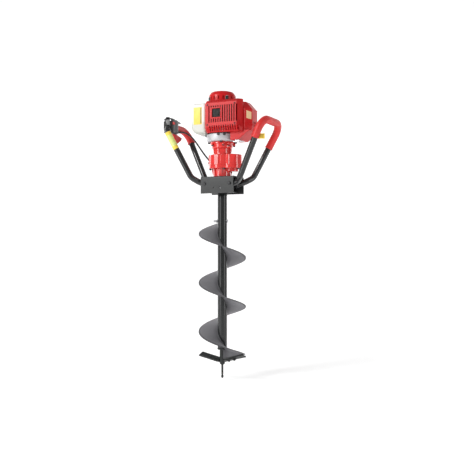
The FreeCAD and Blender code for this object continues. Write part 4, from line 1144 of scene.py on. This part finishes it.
def make_fan_case():
    low_z = low("fan_case").z
    top = high("fan_case").z
    shape = Shape()
    profile = [(40, low_z + 0.3), (58.4, low_z + 0.3), (60.4, low_z + 1), (65, low_z + 5.4),
               (66, low_z + 7.5), (66, top - 5), (67.6, top - 4), (67.6, top - 0.6), (66.8, top), (61, top),
               (60.4, top - 1), (60.4, low_z + 8), (57, low_z + 3.6), (40, low_z + 3.6)]
    shape.ring_lathe(profile, 144)
    for i in range(16):
        rib(shape, 11 + 22.5 * i, 1.2, [(60, low_z + 2), (65.4, low_z + 6), (67.2, top - 5), (60, top - 5)])
    shape.object("fan_case_casting", "aluminium", ["fan_case"], smooth=38)
    screws = Shape()
    for angle in (-150, -78, -57, 100, 160):
        hex_bolt(screws, about_axis(67, angle, top - 2.4), about_axis(1, angle, 0), 4.2, 5.2, 6)
    screws.object("cover_screws", "bolt", smooth=30)


def make_case_screws():
    shape = Shape()
    seats = [about_axis(CASE_SCREW_RADIUS, angle, CASE_FLANGE) for angle in (100, 155, 205, 305)]
    seats += [(80, y, CASE_FLANGE) for y in (-12, 12)]
    seats += [about_axis(30, angle, 846) for angle in (45, 135, 225, 315)]
    seats += [about_axis(57, angle, 996) for angle in (20, 110, 200, 290)]
    for seat in seats:
        socket_screw(shape, seat, (0, 0, -1), 5.0, 5.0)
        shape.lathe([(3, -12), (3, 0.5)], 16, frame_at(seat, (0, 0, -1)))
    shape.object("case_screw_set", "bolt", ["case_screws"], smooth=30)


# ---------------------------------------------------------------- the engine

def cover_ring(front, back, height, wall=0.0):
    """One level of the muffler cover's plan: its front face, both slanted corners and its open back."""
    left = -46 + wall
    right = 120 - wall
    plan = [(left, back), (left, front + 14 - wall * 0.3), (left + 12 + wall * 0.2, front),
            (right - 14 - wall * 0.3, front), (right, -56 + wall * 0.4), (right, back)]
    return [(x, y, height) for x, y in plan]


# the exhaust window's limits in x and z
WINDOW_LEFT, WINDOW_RIGHT, WINDOW_BOTTOM, WINDOW_TOP = -5.5, 33.0, 1090.0, 1126.0
GUARD_SLOTS = 13
GUARD_SLOT_STEP = 10.4


def guard_slots(face):
    """Upright slots in the cover's face and both slanted edges, and level ones round its left corner."""
    slots = Shape()
    for i in range(GUARD_SLOTS):
        x = -22 + GUARD_SLOT_STEP * i
        at_window = WINDOW_LEFT - 4 < x + 2.5 < WINDOW_RIGHT + 4
        for start, stop in ((1069, 1085), (1131, 1139)) if at_window else ((1069, 1139),):
            slots.hull(grid((x, x + 5), (face - 6, face + 8), (start, stop)))
        slots.hull([(x + k + 5 * j, face + depth + 20 * (1 - j), 1035.5 + 21 * j)
                    for k in (0, 4.6) for j in (0, 1) for depth in (-6, 6)])
        slots.hull([(x + k, face + depth + 12 * j, 1153.5 + 8 * j)
                    for k in (0, 4.0) for j in (0, 1) for depth in (-4, 3.4)])
    for i in range(5):
        z = 1066 + 17 * i
        slots.hull(grid((-50, -38), (-66, -57), (z, z + 5)))
    return slots


def make_muffler_cover():
    box_low, box_high = corners("muffler_cover")
    bottom, top, face = box_low.z, box_high.z, box_low.y
    shape = Shape()
    shape.rings([cover_ring(face + lean, -50, z)
                 for lean, z in ((20, bottom), (0, bottom + 20), (0, top - 12), (12, top))])
    inside = Shape()
    inside.rings([cover_ring(face + lean, -44, z, 3)
                  for lean, z in ((22, bottom + 3), (3.2, bottom + 21.4), (3.2, top - 13), (14, top - 3))])
    opening = Shape()
    rim = round_corners(rectangle(WINDOW_LEFT, WINDOW_BOTTOM, WINDOW_RIGHT, WINDOW_TOP), 3, 4)
    opening.rings([[(x, y, z) for x, z in rim] for y in (face - 8, face + 12)])
    shape.object("muffler_guard", "cover", ["muffler_cover"], bevel=1.1, segments=3, angle=28,
                 minus=[inside, opening, guard_slots(face)])


def make_exhaust():
    """The raised frame round the window, the outlet behind it and the cover's screws."""
    face = low("muffler_cover").y
    x0, x1, z0, z1 = WINDOW_LEFT, WINDOW_RIGHT, WINDOW_BOTTOM, WINDOW_TOP
    frame_ring = Shape()
    for left, lower, right, upper in ((x0 - 3, z0 - 3, x1 + 3, z0), (x0 - 3, z1, x1 + 3, z1 + 3),
                                      (x0 - 3, z0, x0, z1), (x1, z0, x1 + 3, z1)):
        frame_ring.block((left, face - 1.6, lower), (right, face + 4, upper), 0.6)
    frame_ring.object("exhaust_window_frame", "cover", smooth=30)
    outlet = Shape()
    outlet.block((x0 - 1, face + 3.4, z0 - 1), (x1 + 1, face + 9, z1 + 1), 1)
    for i in range(4):
        outlet.block((x0 + 1, face + 0.6, z0 + 5 + 8 * i), (x1 - 1, face + 4, z0 + 8 + 8 * i), 0.6)
    outlet.lathe([(11, 0), (12, 0.6), (12, 3.6), (8, 4), (7, 2)], 40,
                 frame_at(((x0 + x1) / 2, face + 4.6, (z0 + z1) / 2), (0, -1, 0)))
    outlet.object("exhaust_outlet", "muffler", smooth=35)
    fixings = Shape()
    for x, y, z in grid((-27, 98), (face + 0.2,), (1142, 1060)):
        socket_screw(fixings, (x, y, z), (0, -1, 0), 3.4, 2.2)
    fixings.object("guard_screws", "bolt", smooth=30)


def make_shroud():
    box_low, box_high = corners("engine_shroud")
    plan = [(48, -50), (128, -50), (150, -26), (150, 24), (132, 54), (48, 54)]
    shape = Shape()
    crown = [(48, -44), (106, -44), (122, -22), (122, 18), (110, 46), (48, 46)]
    skirt = [(48, -50), (124, -50), (145, -26), (145, 22), (128, 54), (48, 54)]
    shape.hull([(x, y, box_low.z) for x, y in skirt] + [(x, y, z) for x, y in plan for z in (1056, 1122)]
               + [(x, y, box_high.z) for x, y in crown])
    inside = Shape()
    inner = [(44, -47), (120, -47), (140, -24), (140, 20), (124, 50), (44, 50)]
    inside.hull([(x, y, z) for x, y in inner for z in (box_low.z - 4, 1120)])
    vents = Shape()
    for i in range(6):
        y = -20 + 8 * i
        vents.hull(grid((140, 156), (y, y + 4), (1052, 1074)))
    for i in range(7):
        x = 62 + 9 * i
        vents.hull(grid((x, x + 4.4), (46, 60), (1060, 1130)))
    shape.object("cylinder_shroud", "cover", ["engine_shroud"], bevel=2.4, segments=4, angle=18,
                 minus=[inside, vents])
    label = Shape()
    label.hull([(x + 0.35 * j, y - 0.32 * j, z) for j in (-1, 1)
                for x, y, z in ((132, -45.6, 1084), (132, -45.6, 1116), (147, -29.3, 1080),
                                (147, -29.3, 1110))])
    label.object("shroud_label", "orange", slot="cover_red", smooth=30)
    seam = Shape()
    for z in (1062.0, 1120.0):
        edge = ((112, -50.4), (128.2, -50.4), (150.4, -26.2), (150.4, 24.2), (132.3, 54.4), (60, 54.4))
        seam.sweep(fine([Vector((x, y, z)) for x, y in edge], 6), lambda along: 1.1, 8)
    seam.object("shroud_ribs", "cover", smooth=50)


def make_duct():
    box_low, box_high = corners("cooling_duct")
    shape = Shape()
    profile = [(60, 998.3), (97, 998.3), (145, 1034), (145, 1036), (60, 1036)]
    shape.hull([(x, y, z) for x, z in profile for y in (box_low.y + 0.3, box_high.y - 0.3)])
    inside = Shape()
    inside.hull([(x, y, z) for x, z in [(40, 1001.5), (96, 1001.5), (138, 1034), (138, 1040), (40, 1040)]
                 for y in (-46.8, 46.8)])
    core = Shape()
    core.lathe([(67.9, 980), (67.9, 1060)], 120)
    shape.object("lower_duct", "cover", ["cooling_duct"], bevel=2.0, segments=4, angle=25,
                 minus=[inside, core])
    plate = Shape()
    plate.block((68, -44, 990), (112, -20, 993), 1.2)
    plate.block((80, -44, 992), (100, -38, 998), 1.2)
    for i in range(2):
        socket_screw(plate, (78 + 22 * i, -32, 990.1), (0, 0, -1), 3.6, 2.4)
    plate.object("stay", "steel", ["stay_plate"], smooth=30)


def make_starter():
    bottom = low("starter_cover").z
    top = high("starter_cover").z
    shape = Shape()
    profile = [(45, bottom + 0.3), (45, bottom + 18), (46.5, bottom + 21), (54, bottom + 23.2),
               (56.4, bottom + 24.6), (57, bottom + 27), (57, top - 17), (56, top - 13.4), (49, top - 4),
               (45.5, top - 1), (42, top), (24, top), (22.5, top - 1.6), (20, top - 2.2)]
    shape.lathe(profile, 120)
    vents = Shape()
    for i in range(18):
        vents.hull(grid((27, 41), (-2.2, 2.2), (top - 5, top + 4)), turned(20 * i))
        vents.hull(grid((52, 62), (-3, 3), (bottom + 31, bottom + 45)), turned(20 * i))
    hole = Shape()
    rope = middle("starter_rope")
    hole.lathe([(4.4, 20), (4.4, 80)], 24, frame_at((rope.x, 0, rope.z), (0, 1, 0)))
    shape.object("recoil_cover", "cover", ["starter_cover"], bevel=0.7, segments=2, angle=30,
                 minus=[vents, hole])
    cap = Shape()
    cap.lathe([(18, top - 2.6), (19, top - 2), (19, top - 0.8), (17.6, top - 0.1), (9, top - 0.1),
               (8.4, top - 1), (6, top - 1.2)], 60)
    screws = Shape()
    for angle in (45, 135, 225, 315):
        cap.lathe([(7.4, bottom + 24.4), (7.4, top - 24), (6.6, top - 23)], 28,
                  Matrix.Translation(about_axis(53.5, angle, 0)))
        socket_screw(screws, about_axis(53.5, angle, top - 23), (0, 0, 1), 4.2, 3.2)
    cap.object("recoil_hub", "plastic", smooth=35)
    screws.object("recoil_screws", "steel", smooth=30)
    ferrule = Shape()
    ferrule.ring_lathe([(3.2, 54.5), (7, 54.5), (7.4, 58), (6.4, 60), (3.2, 60.4)], 40,
                       frame_at((rope.x, 0, rope.z), (0, 1, 0)))
    ferrule.object("rope_guide", "plastic", smooth=45)


# how far along the pull handle, its half width and its half height
PULL_SECTIONS = ((0, 5.6, 5.6), (0.05, 6.4, 6.2), (0.3, 7.8, 6.6), (0.52, 8.6, 7.0), (0.66, 10.5, 7.2),
                 (0.74, 12.6, 7.4), (0.86, 13.0, 7.4), (0.95, 12.2, 7.0), (1.0, 10.4, 5.8))
STRANDS = 3


def make_pull():
    box_low, box_high = corners("starter_handle")
    centre = middle("starter_handle")
    length = box_high.y - box_low.y
    place = frame_at((centre.x, box_low.y, centre.z), (0, 1, 0))
    shape = Shape()
    shape.rings([[(wide * math.cos(turn), tall * math.sin(turn), part * length) for turn in turns(36)]
                 for part, wide, tall in PULL_SECTIONS], at=place)
    shape.object("pull_grip", "plastic", ["starter_handle"], body="pull_handle", smooth=45)
    rope_low = low("starter_rope")
    line = Shape()
    start = Vector((centre.x, rope_low.y - 4, centre.z))
    stop = Vector((centre.x, box_low.y + 3, centre.z))
    for strand in range(STRANDS):
        path = []
        for part in [i / 60 for i in range(61)]:
            turn = 2 * math.pi * (part * 4 + strand / STRANDS)
            path.append(start.lerp(stop, part) + Vector((math.cos(turn), 0, math.sin(turn))) * 0.85)
        line.sweep(path, lambda along: 1.1, 10)
    rope = line.object("pull_rope", "rope", ["starter_rope"], body=None, smooth=60)
    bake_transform(rope)


def make_tank():
    (left, front, bottom), (right, back, top) = corners("fuel_tank")
    shape = Shape()
    shape.hull([(x, y, z) for y in (front, back)
                for x, z in ((left, bottom + 20), (left + 22, bottom), (right, bottom))]
               + grid((left + 4, right), (front, back - 30), (top,))
               + grid((left + 3, right), (back,), (top - 30,)))
    shape.object("fuel_tank_shell", "tank", ["fuel_tank"], bevel=11, segments=6, angle=12)
    seam = Shape()
    outline = round_corners([(left - 0.2, bottom + 19.5), (left + 21.6, bottom - 0.3),
                             (right + 0.3, bottom - 0.3), (right + 0.3, top + 0.3), (left + 3.8, top + 0.3)],
                            12, 8)
    path = [Vector((x, 0, z)) for x, z in outline]
    seam.sweep(path + [path[0]], lambda along: 0.9, 8)
    seam.object("tank_seam", "tank", smooth=50)
    label = Shape()
    label.block((-104, front - 0.35, 1069), (-66, front + 0.6, 1142), 1.0)
    label.object("tank_label", "yellow", slot="tank_white", smooth=30)
    marks = Shape()
    marks.block((-72, front - 0.5, 1073), (-68, front, 1138), 0.3)
    marks.object("tank_label_bar", "ink", slot="tank_white", smooth=30)


def make_fuel_cap():
    away = Vector((0, 1, 1)).normalized()
    seat = Vector((-76, 47, 1144)) + away * 0.3
    place = frame_at(seat, away, (1, 0, 0))

    def ribbed(step, wave):
        """A rim with 24 grip ribs, a step in from the widest."""
        return lambda turn: 18.4 - step + wave * math.cos(24 * turn)

    shape = Shape()
    shape.lathe([(ribbed(1.5, 0.18), 0), (ribbed(0.4, 0.6), 0.8), (ribbed(0, 0.6), 1.6),
                 (ribbed(0.3, 0.6), 10.5), (ribbed(1.4, 0.18), 12.6), (ribbed(3.4, 0.18), 13.8),
                 (ribbed(5, 0.18), 14), (12, 14), (11.4, 13), (10, 12.8)], 144, place)
    shape.hull(grid((-9.5, 9.5), (-2.2, 2.2), (12.2, 13.8)), place)
    shape.object("fuel_cap_knob", "plastic", ["fuel_cap"], body="fuel_cap", smooth=35)


def make_air_filter():
    box_low, box_high = corners("air_filter_cover")
    shape = Shape()
    y0, y1 = box_low.y, box_high.y
    shape.hull(grid((box_low.x, box_high.x), (y0, y1 - 10), (box_low.z, box_high.z))
               + grid((box_low.x + 9, box_high.x - 9), (y1,), (box_low.z + 9, box_high.z - 9)))
    vents = Shape()
    for i in range(6):
        x = box_low.x + 14 + 8.5 * i
        vents.hull(grid((x, x + 4), (y1 - 2.2, y1 + 4), (box_low.z + 14, box_low.z + 34)))
    shape.object("air_filter_shell", "plastic", ["air_filter_cover"], bevel=4, segments=4, angle=20,
                 minus=[vents])
    knob = Shape()
    place = frame_at(((box_low.x + box_high.x) / 2, y1 - 1, box_high.z - 24), (0, 1, 0))
    knob.polar(lambda turn: 8 + 0.5 * math.cos(12 * turn),
               [(0, 0.6), (0.8, 0), (4.6, 0.2), (5.6, 1.4), (5.9, 3)], 96, place)
    knob.object("filter_knob", "trigger", smooth=40)


CARBURETTOR_BORE = (58, 1078)      # the y and z of its axis


def make_carburettor():
    box_low, box_high = corners("carburettor")
    body = Shape()
    body.block((6.3, box_low.y + 0.3, 1060.5), (39.7, box_high.y - 0.3, 1097.5), 3)
    body.lathe([(5, 1044.2), (5, 1061)], 32, Matrix.Translation((26, 66, 0)))
    for z in (1064, 1092):
        body.block((4.5, 44, z - 2), (41.5, 48, z + 2), 1)
    room = Shape()
    room.lathe([(9.8, 5), (9.8, 11.2)], 40, frame_at((0, *CARBURETTOR_BORE), (1, 0, 0)))
    body.object("carburettor_body", "aluminium", ["carburettor"], bevel=0.6, segments=2, minus=[room])
    bulb = Shape()
    bulb.lathe([(8.8, 0), (9, -0.6), (8.6, -1.4), (8.2, -3), (7.6, -5.2), (6.2, -7.4), (4, -9),
                (1.6, -9.6)], 40, frame_at((6.6, *CARBURETTOR_BORE), (1, 0, 0)))
    bulb.object("primer_dome", "bulb", ["primer_bulb"], body="primer", smooth=50)


def make_choke():
    lever = Shape()
    lever.lathe([(4.4, 0), (5, 0.6), (5, 4.4), (4.4, 5)], 32, frame_at((-19, 86, 1090), (1, 0, 0)))
    lever.hull(grid((-18.8, -15.2), (82.2, 89.8), (1092, 1112)) + grid((-18.8, -15.2), (83.4, 88.6), (1120,)))
    for i in range(3):
        z = 1108 + 3.4 * i
        lever.hull(grid((-19.0, -18.4), (83.2, 88.8), (z, z + 1.4)))
    lever.object("choke_tab", "trigger", ["choke_lever"], body="choke", bevel=0.5, segments=2)


def make_crankcase():
    box_low, box_high = corners("crankcase")
    shape = Shape()
    z0, z1 = box_low.z, box_high.z
    plan = round_corners(rectangle(-40, -42, 40, 42), 9, 5)
    shape.stack(plan, [(z0, 0), (z0 + 8, 0), (z0 + 9, 1.6), (z1 - 9, 1.6), (z1 - 8, 0), (z1, 0)])
    for i in range(5):
        z = z0 + 22 + 16 * i
        shape.stack(plan, [(z, 0.3), (z + 3, 0.3)])
    room = Shape()
    room.lathe([(29.8, 1054.2), (29.8, 1101.8)], 72)
    room.lathe([(9.0, z0 - 10), (9.0, z1 + 10)], 40)
    room.lathe([(23.8, 0), (23.8, 60)], 60, frame_at((0, 0, 1078), (1, 0, 0)))
    shape.object("crankcase_casting", "aluminium", ["crankcase"], smooth=35, minus=[room])
    plug = Shape()
    plug.lathe([(9, 0), (9.4, 1), (9.4, 8), (8.4, 9), (8.2, 14), (7, 19), (6, 22)], 40,
               frame_at((118, 0, 1078), (1, 0, 0)))
    plug.object("plug_cap", "seal", ["spark_plug"], smooth=40)


for make in (make_camera, make_cable, make_stage, make_light, paint_cad, make_flight, make_flight_welds,
             make_auger_tube, make_cutters, make_flight_foot, make_pilot, make_cross_bolt, make_bracket,
             make_bracket_fittings, make_handle_tubes, make_grips, make_leg_labels, make_tag,
             make_throttle_housing, make_throttle_controls, make_cable_ends, make_gearbox,
             make_clutch_housing, make_fan_case, make_case_screws, make_muffler_cover, make_exhaust,
             make_shroud, make_duct, make_starter, make_pull, make_tank, make_fuel_cap, make_air_filter,
             make_carburettor, make_choke, make_crankcase):
    make()
